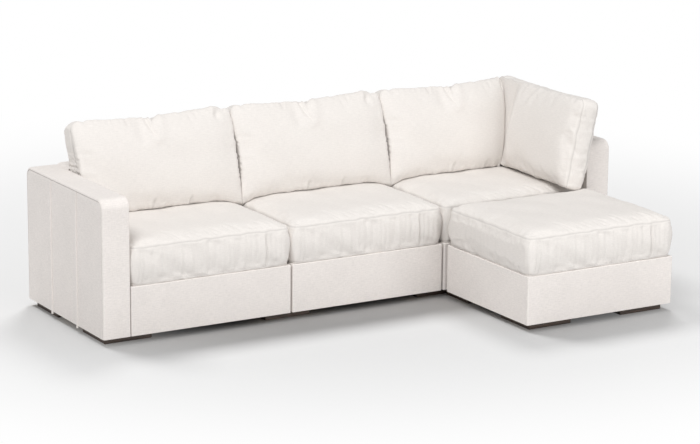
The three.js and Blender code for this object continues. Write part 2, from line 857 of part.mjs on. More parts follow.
// A plate under the seam between each upright module and its seat
for (const [name, x] of [
  ["left_arm", rowLeft],
  ["right_side", rowRight],
]) {
  piece(placed(x, armMiddle), "coupling_" + name, couplingPlate(), finish.plate);
}
for (let i = 0; i < seatCount; i++) {
  const seam = placed(columnMiddle(i), rowFront + seatDepth + backGap / 2, Math.PI / 2);
  piece(seam, "coupling_back_" + (i + 1), couplingPlate(), finish.plate);
}

// Pillows, each cut where it rests on the cushion below it

/** A pillow less the crown of the seat cushion in its column. */
function rested(pillow, column) {
  const cushion = seatCushion().translate(columnMiddle(column), seatMiddle, peak);
  return cut(pillow, cushion);
}

for (let i = 0; i + 1 < seatCount; i++) {
  const left = rowLeft + i * pitch + pillowGap / 2;
  const right = left + pitch - pillowGap;
  piece(sofa, "back_pillow_" + (i + 1), rested(backPillow(left, right), i), finish.cushion);
}
const lastLeft = rowRight - pitch + pillowGap / 2;
piece(sofa, "back_pillow_" + seatCount, rested(pressedPillow(lastLeft), seatCount - 1), finish.cushion);
piece(sofa, "corner_pillow", rested(cornerPillow(), seatCount - 1), finish.cushion);

export default sofa;
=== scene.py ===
"""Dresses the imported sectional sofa: woven covers, simulated cushions, finishes, studio and camera.

Metres, +Z up. The row of seats runs along X and faces -Y, and the chaise stands in front of its
last seat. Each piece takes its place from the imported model's own boxes.
"""

import logging
import math
from dataclasses import dataclass
from enum import Enum
from typing import Callable

import bmesh
import bpy
import numpy as np
from mathutils import Matrix, Vector
from mathutils.bvhtree import BVHTree


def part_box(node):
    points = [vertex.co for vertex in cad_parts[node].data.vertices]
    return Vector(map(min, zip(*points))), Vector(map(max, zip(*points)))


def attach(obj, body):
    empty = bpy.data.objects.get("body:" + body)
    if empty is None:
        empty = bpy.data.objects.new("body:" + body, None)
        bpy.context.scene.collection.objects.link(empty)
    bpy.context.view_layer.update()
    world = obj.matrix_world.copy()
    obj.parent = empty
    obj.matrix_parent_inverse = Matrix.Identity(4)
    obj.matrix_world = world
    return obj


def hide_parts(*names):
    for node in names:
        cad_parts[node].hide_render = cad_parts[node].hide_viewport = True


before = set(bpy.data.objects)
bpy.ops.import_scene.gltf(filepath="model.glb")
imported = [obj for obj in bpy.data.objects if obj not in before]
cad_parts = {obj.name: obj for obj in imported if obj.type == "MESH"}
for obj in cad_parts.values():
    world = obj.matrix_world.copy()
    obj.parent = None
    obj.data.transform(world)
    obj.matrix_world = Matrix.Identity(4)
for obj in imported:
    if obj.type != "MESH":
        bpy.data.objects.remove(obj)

logging.basicConfig(level=logging.INFO, format="%(message)s")
log = logging.getLogger("sofa")

CLOTH_MAP = "cloth"
# Mesh attribute with each point's share of painted shade: darker cloth where seams, welts and creases
# are shaded.
PAINTED_SHADE_MARK = "seam"

# Seats in the row, the height of their cushions' top seams, and the body that each base rides on.
SEATS = 3
TOP_SEAM = 0.465
BASES = {f"seat_{i + 1}": "row" for i in range(SEATS)} | {"chaise": "chaise_base"}

# Places this close count as one, and so do directions whose cosine is past the other two.
SAME_PLACE = 1e-5
ALIGNED = 0.9
FLUSH = 0.999

# Faces that meet at less than this angle look smooth.
SMOOTH_ANGLE = math.radians(40)

# Pillows keep this far off the uprights, and the roughness of wood and steel varies this much.
WALL_GAP = 0.0008
ROUGHNESS_RANGE = 0.2

Triple = tuple[float, float, float]
Pair = tuple[float, float]


class Slot(Enum):
    """The slots that finishes are kept in."""

    COVER = "cover_fabric"
    CUSHION = "cushion_fabric"
    LINER = "liner_fabric"
    PADDING = "padding"
    FRAME_WOOD = "frame_wood"
    FOOT_WOOD = "foot_wood"
    SPRING = "spring_wire"
    COUPLING = "coupling_steel"


class Signal:
    """A number that varies over a surface, whose sums and products are Math nodes."""

    def __init__(self, recipe: "Recipe", socket: bpy.types.NodeSocket) -> None:
        """Wraps a node's output socket."""
        self.recipe = recipe
        self.socket = socket

    def _math(self, operation: str, *values: "Signal | float") -> "Signal":
        """A Math node on some values."""
        node = self.recipe.node("ShaderNodeMath", {"operation": operation}, dict(enumerate(values)))
        return Signal(self.recipe, node.outputs[0])

    def __add__(self, other: "Signal | float") -> "Signal":
        """Sum."""
        return self._math("ADD", self, other)

    __radd__ = __add__

    def __sub__(self, other: "Signal | float") -> "Signal":
        """Difference."""
        return self._math("SUBTRACT", self, other)

    def __rsub__(self, other: float) -> "Signal":
        """Difference from a number."""
        return self._math("SUBTRACT", other, self)

    def __mul__(self, other: "Signal | float") -> "Signal":
        """Product."""
        return self._math("MULTIPLY", self, other)

    __rmul__ = __mul__

    def sine(self) -> "Signal":
        """Sine."""
        return self._math("SINE", self)

    def larger(self, other: "Signal") -> "Signal":
        """The larger of two signals."""
        return self._math("MAXIMUM", self, other)

    def between(self, low: float, high: float) -> "Signal":
        """Smooth step from low to high.

        Args:
            low: where the step starts.
            high: where it ends.

        Returns:
            A signal from 0 to 1.
        """
        node = self.recipe.node(
            "ShaderNodeMapRange",
            {"interpolation_type": "SMOOTHSTEP"},
            {"Value": self, "From Min": low, "From Max": high},
        )
        return Signal(self.recipe, node.outputs["Result"])


class Recipe:
    """The nodes of one material or of the world."""

    def __init__(self, tree: bpy.types.NodeTree) -> None:
        """Starts from an empty tree."""
        self.tree = tree
        self.tree.nodes.clear()

    @classmethod
    def of_material(cls, name: str) -> "tuple[Recipe, bpy.types.Material]":
        """A new material and its recipe.

        Args:
            name: the material's name.

        Returns:
            The recipe and the material.
        """
        material = bpy.data.materials.new(name)
        material.use_nodes = True
        return cls(material.node_tree), material

    def feed(self, socket: bpy.types.NodeSocket, value: object) -> None:
        """Sets a socket to a number, or links it to a signal or an output.

        Args:
            socket: the socket.
            value: a number, a colour, a signal or an output.
        """
        if isinstance(value, Signal):
            value = value.socket
        if isinstance(value, bpy.types.NodeSocket):
            self.tree.links.new(value, socket)
        else:
            socket.default_value = value

    def node(
        self, kind: str, settings: dict | None = None, inputs: dict | None = None
    ) -> bpy.types.Node:
        """Adds a node.

        Args:
            kind: the node's type.
            settings: its own settings, set first.
            inputs: values or links of its sockets, by name or number.

        Returns:
            The node.
        """
        made = self.tree.nodes.new(kind)
        for name, value in (settings or {}).items():
            setattr(made, name, value)
        for name, value in (inputs or {}).items():
            self.feed(made.inputs[name], value)
        return made

    def stretched(self, where: bpy.types.NodeSocket, stretch: Triple) -> bpy.types.NodeSocket:
        """A place, stretched along each axis."""
        mapped = self.node("ShaderNodeMapping", None, {"Vector": where, "Scale": stretch})
        return mapped.outputs["Vector"]

    def place(self, stretch: Triple) -> bpy.types.NodeSocket:
        """The object's own coordinates, stretched along each axis."""
        return self.stretched(self.node("ShaderNodeTexCoord").outputs["Object"], stretch)

    def cloth_place(self, across: float, along: float) -> bpy.types.NodeSocket:
        """The place on the cloth in metres, stretched along its threads."""
        where = self.node("ShaderNodeUVMap", {"uv_map": CLOTH_MAP}).outputs["UV"]
        return self.stretched(where, (across, along, 1.0))

    def noise(self, place: bpy.types.NodeSocket, detail: float = 2.0) -> Signal:
        """Smooth noise about 0.5 at a place."""
        inputs = {"Vector": place, "Scale": 1.0, "Detail": detail, "Roughness": 0.55}
        return Signal(self, self.node("ShaderNodeTexNoise", None, inputs).outputs["Fac"])

    def mark(self, name: str) -> Signal:
        """A number that the mesh carries at its points."""
        node = self.node("ShaderNodeAttribute", {"attribute_name": name})
        return Signal(self, node.outputs["Fac"])

    def blend(self, share: Signal, low: object, high: object) -> bpy.types.NodeSocket:
        """A colour between two others, each a tone or a socket.

        Args:
            share: how much of the second one shows.
            low: the first one.
            high: the second one.

        Returns:
            The mixed colour.
        """
        node = self.node("ShaderNodeMix", {"data_type": "RGBA"}, {"Factor": share})
        for socket, value in ((node.inputs[6], low), (node.inputs[7], high)):
            self.feed(socket, (*value, 1.0) if isinstance(value, tuple) else value)
        return node.outputs[2]

    def relief(self, height: Signal, depth: float, strength: float) -> bpy.types.NodeSocket:
        """A bumped normal from a height between 0 and 1 and its depth in metres."""
        inputs = {"Height": height, "Distance": depth, "Strength": strength}
        return self.node("ShaderNodeBump", None, inputs).outputs["Normal"]

    def mix_shaders(
        self, share: Signal, first: bpy.types.Node, second: bpy.types.Node
    ) -> bpy.types.NodeSocket:
        """A shader between two others."""
        inputs = {0: share, 1: first.outputs[0], 2: second.outputs[0]}
        return self.node("ShaderNodeMixShader", None, inputs).outputs[0]

    def finish(self, **inputs: object) -> None:
        """Closes a material with a Principled shader, its sockets given by name.

        Args:
            inputs: values or links by the sockets' names, with underscores for spaces.
        """
        shader = self.node("ShaderNodeBsdfPrincipled")
        for name, value in inputs.items():
            self.feed(shader.inputs[name.replace("_", " ")], value)
        self.node("ShaderNodeOutputMaterial", None, {"Surface": shader.outputs["BSDF"]})


def toned(tone: Triple, share: float) -> Triple:
    """A tone made lighter or darker."""
    return tuple(value * share for value in tone)


@dataclass(frozen=True)
class WovenCloth:
    """Plain weave with slubbed threads, on a map of the cloth in metres, darkened by painted shade
    where the mesh carries the painted shade mark.
    """

    name: str
    tone: Triple
    # Share of the tone left where painted shade darkens seams, welts and creases.
    seam_shade: float
    variation: float = 0.09
    thread: float = 0.0019
    slub_length: float = 0.026
    slub_width: float = 0.0042
    slub_contrast: float = 2.4
    warp_share: float = 0.38
    patches_per_metre: float = 7.0
    patch_contrast: float = 0.5
    depth: float = 0.0009
    crossing_rise: float = 0.2
    slub_rise: float = 0.9

    def material(self) -> bpy.types.Material:
        """Builds the material.

        Returns:
            The material.
        """
        recipe, material = Recipe.of_material(self.name)
        turns = math.pi / self.thread
        place = recipe.cloth_place(turns, turns)
        split = recipe.node("ShaderNodeSeparateXYZ", None, {"Vector": place})
        across, along = Signal(recipe, split.outputs["X"]), Signal(recipe, split.outputs["Y"])
        crossings = across.sine() * along.sine()
        fine, long = 1 / self.slub_width, 1 / self.slub_length
        warp = recipe.noise(recipe.cloth_place(fine, long))
        weft = recipe.noise(recipe.cloth_place(long, fine))
        slubs = warp * self.warp_share + weft * (1 - self.warp_share)
        patches = recipe.noise(recipe.cloth_place(self.patches_per_metre, self.patches_per_metre))
        share = (slubs - 0.5) * self.slub_contrast + (patches - 0.5) * self.patch_contrast + 0.5
        light, dark = toned(self.tone, 1 + self.variation), toned(self.tone, 1 - self.variation)
        # The seam tone is painted shade, mixed in by each point's share of the painted shade mark.
        cloth, seam = recipe.blend(share, dark, light), toned(self.tone, self.seam_shade)
        height = crossings * self.crossing_rise + slubs * self.slub_rise
        recipe.finish(
            Base_Color=recipe.blend(recipe.mark(PAINTED_SHADE_MARK), cloth, seam),
            Roughness=0.92,
            Sheen_Weight=0.08,
            Sheen_Roughness=0.6,
            Normal=recipe.relief(height, self.depth, strength=0.8),
        )
        return material


@dataclass(frozen=True)
class GrainedWood:
    """Wood whose grain runs along one axis of the object."""

    name: str
    dark: Triple
    light: Triple
    stretch: Triple
    roughness: float
    depth: float = 0.0006
    streak_range: Pair = (0.36, 0.66)
    pore_fineness: float = 4
    pore_tone: float = 0.25
    pore_rise: float = 0.4

    def material(self) -> bpy.types.Material:
        """Builds the material.

        Returns:
            The material.
        """
        recipe, material = Recipe.of_material(self.name)
        grain = recipe.noise(recipe.place(self.stretch), detail=6.0)
        pores = recipe.noise(recipe.place(toned(self.stretch, self.pore_fineness)))
        streaks = grain.between(*self.streak_range)
        share = streaks * (1 - self.pore_tone) + pores * self.pore_tone
        height = streaks * (1 - self.pore_rise) + pores * self.pore_rise
        recipe.finish(
            Base_Color=recipe.blend(share, self.dark, self.light),
            Roughness=grain * ROUGHNESS_RANGE + (self.roughness - ROUGHNESS_RANGE / 2),
            Normal=recipe.relief(height, self.depth, strength=0.7),
        )
        return material


@dataclass(frozen=True)
class Felt:
    """Matted fibres: a felt pad, foam or non-woven liner."""

    name: str
    tone: Triple
    fibre: float
    variation: float
    depth: float = 0.0008
    fibre_range: Pair = (0.3, 0.7)

    def material(self) -> bpy.types.Material:
        """Builds the material.

        Returns:
            The material.
        """
        recipe, material = Recipe.of_material(self.name)
        fibres = recipe.noise(recipe.place((1 / self.fibre,) * 3), detail=4.0)
        low, high = toned(self.tone, 1 - self.variation), toned(self.tone, 1 + self.variation)
        recipe.finish(
            Base_Color=recipe.blend(fibres.between(*self.fibre_range), low, high),
            Roughness=0.95,
            Normal=recipe.relief(fibres, self.depth, strength=0.8),
        )
        return material


@dataclass(frozen=True)
class Steel:
    """Steel with fine marks of drawing, rolling or handling."""

    name: str
    tone: Triple
    roughness: float
    streak: Triple
    depth: float = 0.0002
    darkest: float = 0.85
    lightest: float = 1.1

    def material(self) -> bpy.types.Material:
        """Builds the material.

        Returns:
            The material.
        """
        recipe, material = Recipe.of_material(self.name)
        marks = recipe.noise(recipe.place(self.streak), detail=3.0)
        low, high = toned(self.tone, self.darkest), toned(self.tone, self.lightest)
        recipe.finish(
            Base_Color=recipe.blend(marks, low, high),
            Metallic=1.0,
            Roughness=marks * ROUGHNESS_RANGE + (self.roughness - ROUGHNESS_RANGE / 2),
            Normal=recipe.relief(marks, self.depth, strength=0.5),
        )
        return material


FINISHES = {
    Slot.COVER: WovenCloth("cover_cloth", (0.811, 0.764, 0.731), seam_shade=0.45),
    Slot.CUSHION: WovenCloth(
        "cushion_cloth", (0.785, 0.748, 0.714), seam_shade=0.79, variation=0.055
    ),
    Slot.LINER: Felt("liner", (0.03, 0.03, 0.03), fibre=0.0012, variation=0.35, depth=0.0004),
    Slot.PADDING: Felt("felt_padding", (0.78, 0.74, 0.64), fibre=0.004, variation=0.12),
    Slot.FRAME_WOOD: GrainedWood(
        "sawn_wood", (0.44, 0.28, 0.14), (0.66, 0.47, 0.27), (3.0, 60.0, 60.0), 0.75
    ),
    Slot.FOOT_WOOD: GrainedWood(
        "stained_wood", (0.020, 0.012, 0.009), (0.10, 0.064, 0.045), (5.0, 5.0, 190.0), 0.45
    ),
    Slot.SPRING: Steel(
        "spring_steel", (0.35, 0.36, 0.38), roughness=0.38, streak=(40.0, 40.0, 40.0)
    ),
    Slot.COUPLING: Steel(
        "coupling_zinc", (0.55, 0.56, 0.58), roughness=0.42, streak=(14.0, 220.0, 14.0)
    ),
}
MATERIALS = {slot: finish.material() for slot, finish in FINISHES.items()}


def only(piece: bpy.types.Object) -> None:
    """Selects one object alone and makes it active.

    Args:
        piece: the object.
    """
    bpy.ops.object.select_all(action="DESELECT")
    piece.select_set(True)
    bpy.context.view_layer.objects.active = piece


def settle(piece: bpy.types.Object) -> None:
    """Applies every modifier of a piece.

    Args:
        piece: the piece.
    """
    only(piece)
    for modifier in list(piece.modifiers):
        bpy.ops.object.modifier_apply(modifier=modifier.name)


def points_of(mesh: bpy.types.Mesh) -> np.ndarray:
    """A mesh's points as an array.

    Args:
        mesh: the mesh.

    Returns:
        One row for each point.
    """
    flat = np.empty(3 * len(mesh.vertices), np.float32)
    mesh.vertices.foreach_get("co", flat)
    return flat.reshape(-1, 3).astype(float)


def normals_of(mesh: bpy.types.Mesh) -> np.ndarray:
    """A mesh's normals at its points.

    Args:
        mesh: the mesh.

    Returns:
        One row for each point.
    """
    flat = np.empty(3 * len(mesh.vertices), np.float32)
    mesh.vertex_normals.foreach_get("vector", flat)
    return flat.reshape(-1, 3).astype(float)


def put_points(mesh: bpy.types.Mesh, points: np.ndarray) -> None:
    """Moves a mesh's points."""
    mesh.vertices.foreach_set("co", points.astype(np.float32).ravel())
    mesh.update()


def map_cloth(mesh: bpy.types.Mesh) -> None:
    """Gives a mesh a map of its cloth in metres, laid on each face from the axis it faces most.

    Args:
        mesh: the mesh.
    """
    points = points_of(mesh)
    layer = mesh.uv_layers.get(CLOTH_MAP) or mesh.uv_layers.new(name=CLOTH_MAP)
    corners = np.empty(len(mesh.loops), np.int32)
    mesh.loops.foreach_get("vertex_index", corners)
    facing = np.empty(3 * len(mesh.polygons), np.float32)
    mesh.polygons.foreach_get("normal", facing)
    counts = np.empty(len(mesh.polygons), np.int32)
    mesh.polygons.foreach_get("loop_total", counts)
    axis = np.repeat(np.abs(facing.reshape(-1, 3)).argmax(1), counts)
    place = points[corners]
    across = np.where(axis == 0, place[:, 1], place[:, 0])
    up = np.where(axis == 2, place[:, 1], place[:, 2])
    layer.data.foreach_set("uv", np.stack([across, up], 1).astype(np.float32).ravel())


def mark_painted_shade(mesh: bpy.types.Mesh, weights: np.ndarray) -> None:
    """Stores how much painted shade each point has, along seam grooves, welt flanks and crease
    bottoms.
    """
    attribute = mesh.attributes.get(PAINTED_SHADE_MARK) or mesh.attributes.new(PAINTED_SHADE_MARK, "FLOAT", "POINT")
    attribute.data.foreach_set("value", weights.astype(np.float32))


def install(piece: bpy.types.Object, slot: Slot, node: str, body: str) -> None:
    """Gives a piece the finish of a slot, and puts it on its body in its node's place.

    Args:
        piece: the piece.
        slot: its slot.
        node: the node that it stands for.
        body: the body that it rides on.
    """
    piece.data.materials.clear()
    piece.data.materials.append(MATERIALS[slot])
    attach(piece, body)
    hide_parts(node)


def eased(value: np.ndarray, low: float, high: float) -> np.ndarray:
    """Smooth step of an array from low to high."""
    share = np.clip((value - low) / (high - low), 0, 1)
    return share * share * (3 - 2 * share)


def bell(value: np.ndarray, middle: float, width: float) -> np.ndarray:
    """A bell curve of an array, 1 at its middle."""
    return np.exp(-(((value - middle) / width) ** 2))


@dataclass(frozen=True)
class Layout:
    """Faces and lines of the sofa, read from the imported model's boxes."""

    row_left: float
    row_right: float
    row_front: float
    back_inner: float
    base_top: float
    pitch: float
    seat_middle: float
    chaise_middle: float

    @classmethod
    def read(cls) -> "Layout":
        """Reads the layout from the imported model.

        Returns:
            The layout.
        """
        _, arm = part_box("left_arm_cover")
        panel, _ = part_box("right_side_cover")
        back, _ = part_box("back_1_cover")
        base_low, base_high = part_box("seat_1_cover")
        chaise_low, chaise_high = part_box("chaise_cover")
        return cls(
            row_left=arm.x,
            row_right=panel.x,
            row_front=base_low.y,
            back_inner=back.y,
            base_top=base_high.z,
            pitch=(panel.x - arm.x) / SEATS,
            seat_middle=(base_low.y + base_high.y) / 2,
            chaise_middle=(chaise_low.y + chaise_high.y) / 2,
        )

    def column(self, index: int) -> float:
        """The middle of a seat's column along X."""
        return self.row_left + (index + 0.5) * self.pitch


# Fitted covers


def block(name: str, low: Vector, high: Vector) -> bpy.types.Object:
    """A box between two corners, to be shaped.

    Args:
        name: its name.
        low: its lowest corner.
        high: its highest corner.

    Returns:
        The box.
    """
    bpy.ops.object.select_all(action="DESELECT")
    bpy.ops.mesh.primitive_cube_add(size=1, location=(low + high) / 2)
    piece = bpy.context.active_object
    piece.name = piece.data.name = name
    piece.scale = high - low
    bpy.ops.object.transform_apply(location=True, rotation=True, scale=True)
    return piece


def choose_edges(piece: bpy.types.Object, test: Callable[[Vector, Vector], bool]) -> None:
    """Selects, in edit mode, the edges that pass a test of their middle and direction.

    Args:
        piece: the piece.
        test: tells from an edge's middle and direction whether it is chosen.
    """
    bpy.ops.mesh.select_all(action="DESELECT")
    bpy.ops.mesh.select_mode(type="EDGE")
    shape = bmesh.from_edit_mesh(piece.data)
    for edge in shape.edges:
        start, end = (corner.co for corner in edge.verts)
        edge.select_set(test((start + end) / 2, (end - start).normalized()))
    bmesh.update_edit_mesh(piece.data)


def choose_faces(piece: bpy.types.Object, test: Callable[[Vector, Vector], bool]) -> None:
    """Selects, in edit mode, the faces that pass a test of their middle and normal.

    Args:
        piece: the piece.
        test: tells from a face's middle and normal whether it is chosen.
    """
    bpy.ops.mesh.select_all(action="DESELECT")
    bpy.ops.mesh.select_mode(type="FACE")
    shape = bmesh.from_edit_mesh(piece.data)
    for face in shape.faces:
        face.select_set(test(face.calc_center_median(), face.normal))
    bmesh.update_edit_mesh(piece.data)


def thicken(piece: bpy.types.Object, cloth: float) -> None:
    """Gives an open skin the thickness of its cloth, inwards.

    Args:
        piece: the skin.
        cloth: the cloth's thickness.
    """
    solid = piece.modifiers.new("cloth", "SOLIDIFY")
    solid.thickness = cloth
    solid.offset = -1
    settle(piece)


def copied(piece: bpy.types.Object, nodes: list[str], ending: str) -> list[bpy.types.Object]:
    """Copies a piece from the first node's place to the others', each copy with its own mesh.

    Args:
        piece: the piece, in the first node's place.
        nodes: the nodes.
        ending: what the copies' names add to the nodes'.

    Returns:
        The piece and its copies.
    """
    first, *others = nodes
    start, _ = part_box(first)
    made = [piece]
    for node in others:
        place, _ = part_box(node)
        mesh = piece.data.copy()
        mesh.transform(Matrix.Translation(place - start))
        twin = bpy.data.objects.new(f"{node}_{ending}", mesh)
        mesh.name = twin.name
        bpy.context.scene.collection.objects.link(twin)
        made.append(twin)
    return made


@dataclass
class BaseCover:
    """A seat base's fitted cover: crisp edges, and a hem folded in under the frame."""

    node: str
    body: str
    corner: float = 0.008
    edge: float = 0.0030
    cloth: float = 0.0022
    hem: float = 0.016

    def build(self) -> bpy.types.Object:
        """Makes the cover and dresses it.

        Returns:
            The cover.
        """
        low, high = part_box(self.node)
        piece = block(f"{self.node}_cloth", low, high)
        bpy.ops.object.mode_set(mode="EDIT")
        choose_edges(piece, lambda middle, along: abs(along.z) > ALIGNED)
        bpy.ops.mesh.bevel(offset=self.corner, segments=4)
        choose_edges(piece, lambda middle, along: middle.z > high.z - SAME_PLACE)
        bpy.ops.mesh.bevel(offset=self.edge, segments=3)
        choose_faces(piece, lambda middle, normal: normal.z < -ALIGNED)
        bpy.ops.mesh.inset(thickness=self.hem)
        bpy.ops.mesh.delete(type="FACE")
        bpy.ops.object.mode_set(mode="OBJECT")
        thicken(piece, self.cloth)
        finish_cover(piece, self.node, self.body)
        return piece


def finish_cover(piece: bpy.types.Object, node: str, body: str) -> None:
    """Shades and maps a fitted cover, and puts it in its node's place.

    Args:
        piece: the cover.
        node: the node that it stands for.
        body: the body that it rides on.
    """
    only(piece)
    bpy.ops.object.shade_smooth_by_angle(angle=SMOOTH_ANGLE)
    weighted = piece.modifiers.new("even light", "WEIGHTED_NORMAL")
    weighted.keep_sharp = True
    settle(piece)
    map_cloth(piece.data)
    install(piece, Slot.COVER, node, body)


@dataclass
class DustCovers:
    """Non-woven sheets tacked under the bases, clear of their corner gussets, with a slight sag."""

    corner: float = 0.1991
    cuts: int = 16
    sag: float = 0.00018
    tautness: int = 6
    unevenness: float = 0.3
    wave: float = 0.22

    def build(self) -> list[bpy.types.Object]:
        """Cuts one sheet, copies it to each base, lets each copy sag and dresses it.

        Returns:
            The sheets.
        """
        nodes = [f"{base}_dust_cover" for base in BASES]
        low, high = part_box(nodes[0])
        piece = block(f"{nodes[0]}_sheet", low, high)
        bpy.ops.object.mode_set(mode="EDIT")
        choose_edges(piece, lambda middle, along: abs(along.z) < 1 - ALIGNED)
        bpy.ops.mesh.subdivide(number_cuts=self.cuts)
        for x, outward_x in ((low.x, -1), (high.x, 1)):
            for y, outward_y in ((low.y, -1), (high.y, 1)):
                bpy.ops.mesh.select_all(action="SELECT")
                bpy.ops.mesh.bisect(
                    plane_co=(x - outward_x * self.corner, y, 0),
                    plane_no=(outward_x, outward_y, 0),
                    use_fill=True,
                    clear_outer=True,
                )
        bpy.ops.object.mode_set(mode="OBJECT")
        made = copied(piece, nodes, "sheet")
        for sheet, node, body in zip(made, nodes, BASES.values()):
            self._hang(sheet, *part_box(node))
            install(sheet, Slot.LINER, node, body)
        return made

    def _hang(self, sheet: bpy.types.Object, low: Vector, high: Vector) -> None:
        """Lets a sheet sag between its tacked sides, and shades and maps it.

        Args:
            sheet: the flat sheet.
            low: its lowest corner.
            high: its highest corner.
        """
        points = points_of(sheet.data)
        place = (points - np.array(high + low) / 2) / (np.array(high - low) / 2)
        free = (1 - place[:, 0] ** self.tautness) * (1 - place[:, 1] ** self.tautness)
        waves = ripples(points[:, 0], points[:, 1], self.wave, seed=3)
        points[:, 2] -= self.sag * free * (1 - self.unevenness + self.unevenness * waves)
        put_points(sheet.data, points)
        sheet.data.shade_smooth()
        only(sheet)
        bpy.ops.object.shade_smooth_by_angle(angle=SMOOTH_ANGLE)
        map_cloth(sheet.data)


class Facing(Enum):
    """Which way an upright's outer face looks, as a quarter turn from +Y."""

    BACK = 0
    LEFT = 1
    RIGHT = -1

    def turn(self) -> Matrix:
        """The turn about Z from the upright's own frame."""
        return Matrix.Rotation(self.value * math.pi / 2, 4, "Z")


@dataclass
class UprightCovers:
    """Covers of arms, backs or sides: rounded top corners, seamed long faces, outer panels."""

    nodes: list[str]
    facing: Facing
    corner: float = 0.050
    rim: float = 0.011
    inner_rim: float = 0.0035
    seam: float = 0.0024
    groove: float = 0.0034
    roll: float = 0.012
    roll_rise: float = 0.0016
    inner_rise: float = 0.0003
    cloth: float = 0.0022
    panels: int = 3
    welt_width: float = 0.0125
    welt_rise: float = 0.0066
    welt_tail: float = 0.011
    welt_lean: float = 0.012
    welt_bend: Pair = (0.05, 0.01)
    welt_round: float = 0.42
    welt_sway: float = 0.0006
    welt_sway_rate: float = 17
    welt_steps: int = 14

    def build(self) -> list[bpy.types.Object]:
        """Models one cover in its own frame, copies it to each upright and dresses them.

        Returns:
            The covers.
        """
        low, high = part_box(self.nodes[0])
        middle = Vector(((low.x + high.x) / 2, (low.y + high.y) / 2, 0))
        thick, length = sorted((high - low)[:2])
        piece = self._skin(length, thick, low.z, high.z)
        welts = [self._welt(length, thick, low.z, high.z, i) for i in range(1, self.panels)]
        only(piece)
        for welt in welts:
            welt.select_set(True)
        bpy.ops.object.join()
        piece.data.transform(Matrix.Translation(middle) @ self.facing.turn())
        made = copied(piece, self.nodes, "cloth")
        for cover, node in zip(made, self.nodes):
            finish_cover(cover, node, "row")
        return made

    def _skin(self, length: float, thick: float, bottom: float, top: float) -> bpy.types.Object:
        """The cover's skin, with seams round both long faces, painted shade in the seam grooves, and
        an open foot.

        Args:
            length: the upright's length.
            thick: its thickness.
            bottom: height of its foot.
            top: height of its top.

        Returns:
            The skin.
        """
        face = thick / 2
        low, high = Vector((-length / 2, -face, bottom)), Vector((length / 2, face, top))
        piece = block(f"{self.nodes[0]}_cloth", low, high)
        bpy.ops.object.mode_set(mode="EDIT")
        choose_edges(
            piece, lambda middle, along: abs(along.y) > ALIGNED and middle.z > top - SAME_PLACE
        )
        bpy.ops.mesh.bevel(offset=self.corner, segments=10)
        for side, rim in ((1, self.rim), (-1, self.inner_rim)):
            choose_edges(
                piece,
                lambda middle, along: abs(middle.y * side - face) < SAME_PLACE
                and middle.z > bottom + SAME_PLACE,
            )
            bpy.ops.mesh.bevel(offset=rim, segments=4)
        choose_faces(piece, lambda middle, normal: normal.z < -ALIGNED)
        bpy.ops.mesh.delete(type="FACE")
        for side, rise in ((-1, self.inner_rise), (1, self.roll_rise)):
            choose_faces(
                piece,
                lambda middle, normal: normal.y * side > FLUSH
                and middle.y * side > face - SAME_PLACE,
            )
            for width, depth in (
                (self.seam, -self.groove),
                (self.seam, self.groove),
                (self.roll, rise),
                (2 * self.roll, -rise),
            ):
                bpy.ops.mesh.inset(thickness=width, depth=depth, use_boundary=False)
        bpy.ops.object.mode_set(mode="OBJECT")
        thicken(piece, self.cloth)
        # Painted shade at the bottoms of the seam grooves.
        sunk = face - np.abs(points_of(piece.data)[:, 1])
        mark_painted_shade(piece.data, (np.abs(sunk - self.groove) < SAME_PLACE).astype(float))
        return piece

    def _welt(
        self, length: float, thick: float, bottom: float, top: float, index: int
    ) -> bpy.types.Object:
        """One raised welt between two panels of the outer face, its tail hanging below the hem, with
        painted shade on its flanks.

        Args:
            length: the upright's length.
            thick: its thickness.
            bottom: height of its foot.
            top: height of its top.
            index: the welt's number, from 1.

        Returns:
            The welt.
        """
        x = -length / 2 + index * length / self.panels
        face = thick / 2
        low = Vector((x - self.welt_width / 2, face - self.welt_rise / 2, bottom - self.welt_tail))
        high = Vector((x + self.welt_width / 2, face + self.welt_rise, top - self.rim - self.seam))
        piece = block(f"welt_{index}", low, high)
        bpy.ops.object.mode_set(mode="EDIT")
        choose_edges(piece, lambda middle, along: abs(along.z) > ALIGNED and middle.y > face)
        bpy.ops.mesh.bevel(offset=self.welt_width * self.welt_round, segments=4)
        for step in range(1, self.welt_steps):
            height = low.z + (high.z - low.z) * step / self.welt_steps
            bpy.ops.mesh.select_all(action="SELECT")
            bpy.ops.mesh.bisect(plane_co=(0, 0, height), plane_no=(0, 0, 1))
        bpy.ops.object.mode_set(mode="OBJECT")
        points = points_of(piece.data)
        below, above = self.welt_bend
        bend = eased(points[:, 2], high.z - below, high.z + above)
        points[:, 0] += self.welt_lean * bend * self.front()
        points[:, 0] += self.welt_sway * np.sin(points[:, 2] * self.welt_sway_rate + index)
        put_points(piece.data, points)
        # Painted shade on the welt's flanks, darkest at the points sunk into the face.
        mark_painted_shade(piece.data, (points[:, 1] < face).astype(float))
        return piece

    def front(self) -> int:
        """Which way along its own X the upright's front lies."""
        return -self.facing.value


# Cushions and pillows

# Lattice lines stand this far from a seam, and even ones begin after them.
BESIDE_SEAM = (0, 0.003, 0.007, 0.0125)
FIRST_EVEN = 0.019

# Frames of the cloth simulation, and the share of the slack by which firmly held cloth shrinks.
INFLATE_FRAMES = 20
HELD_SHRINK = 0.3


class Face(Enum):
    """Faces of a boxed cushion in its own frame: the axis they cross and the end they are at."""

    LEFT = (0, 0)
    RIGHT = (0, -1)
    NEAR = (1, 0)
    FAR = (1, -1)
    BELOW = (2, 0)
    ABOVE = (2, -1)

    def others(self) -> tuple[int, ...]:
        """The two axes along the face."""
        return tuple(axis for axis in range(3) if axis != self.value[0])


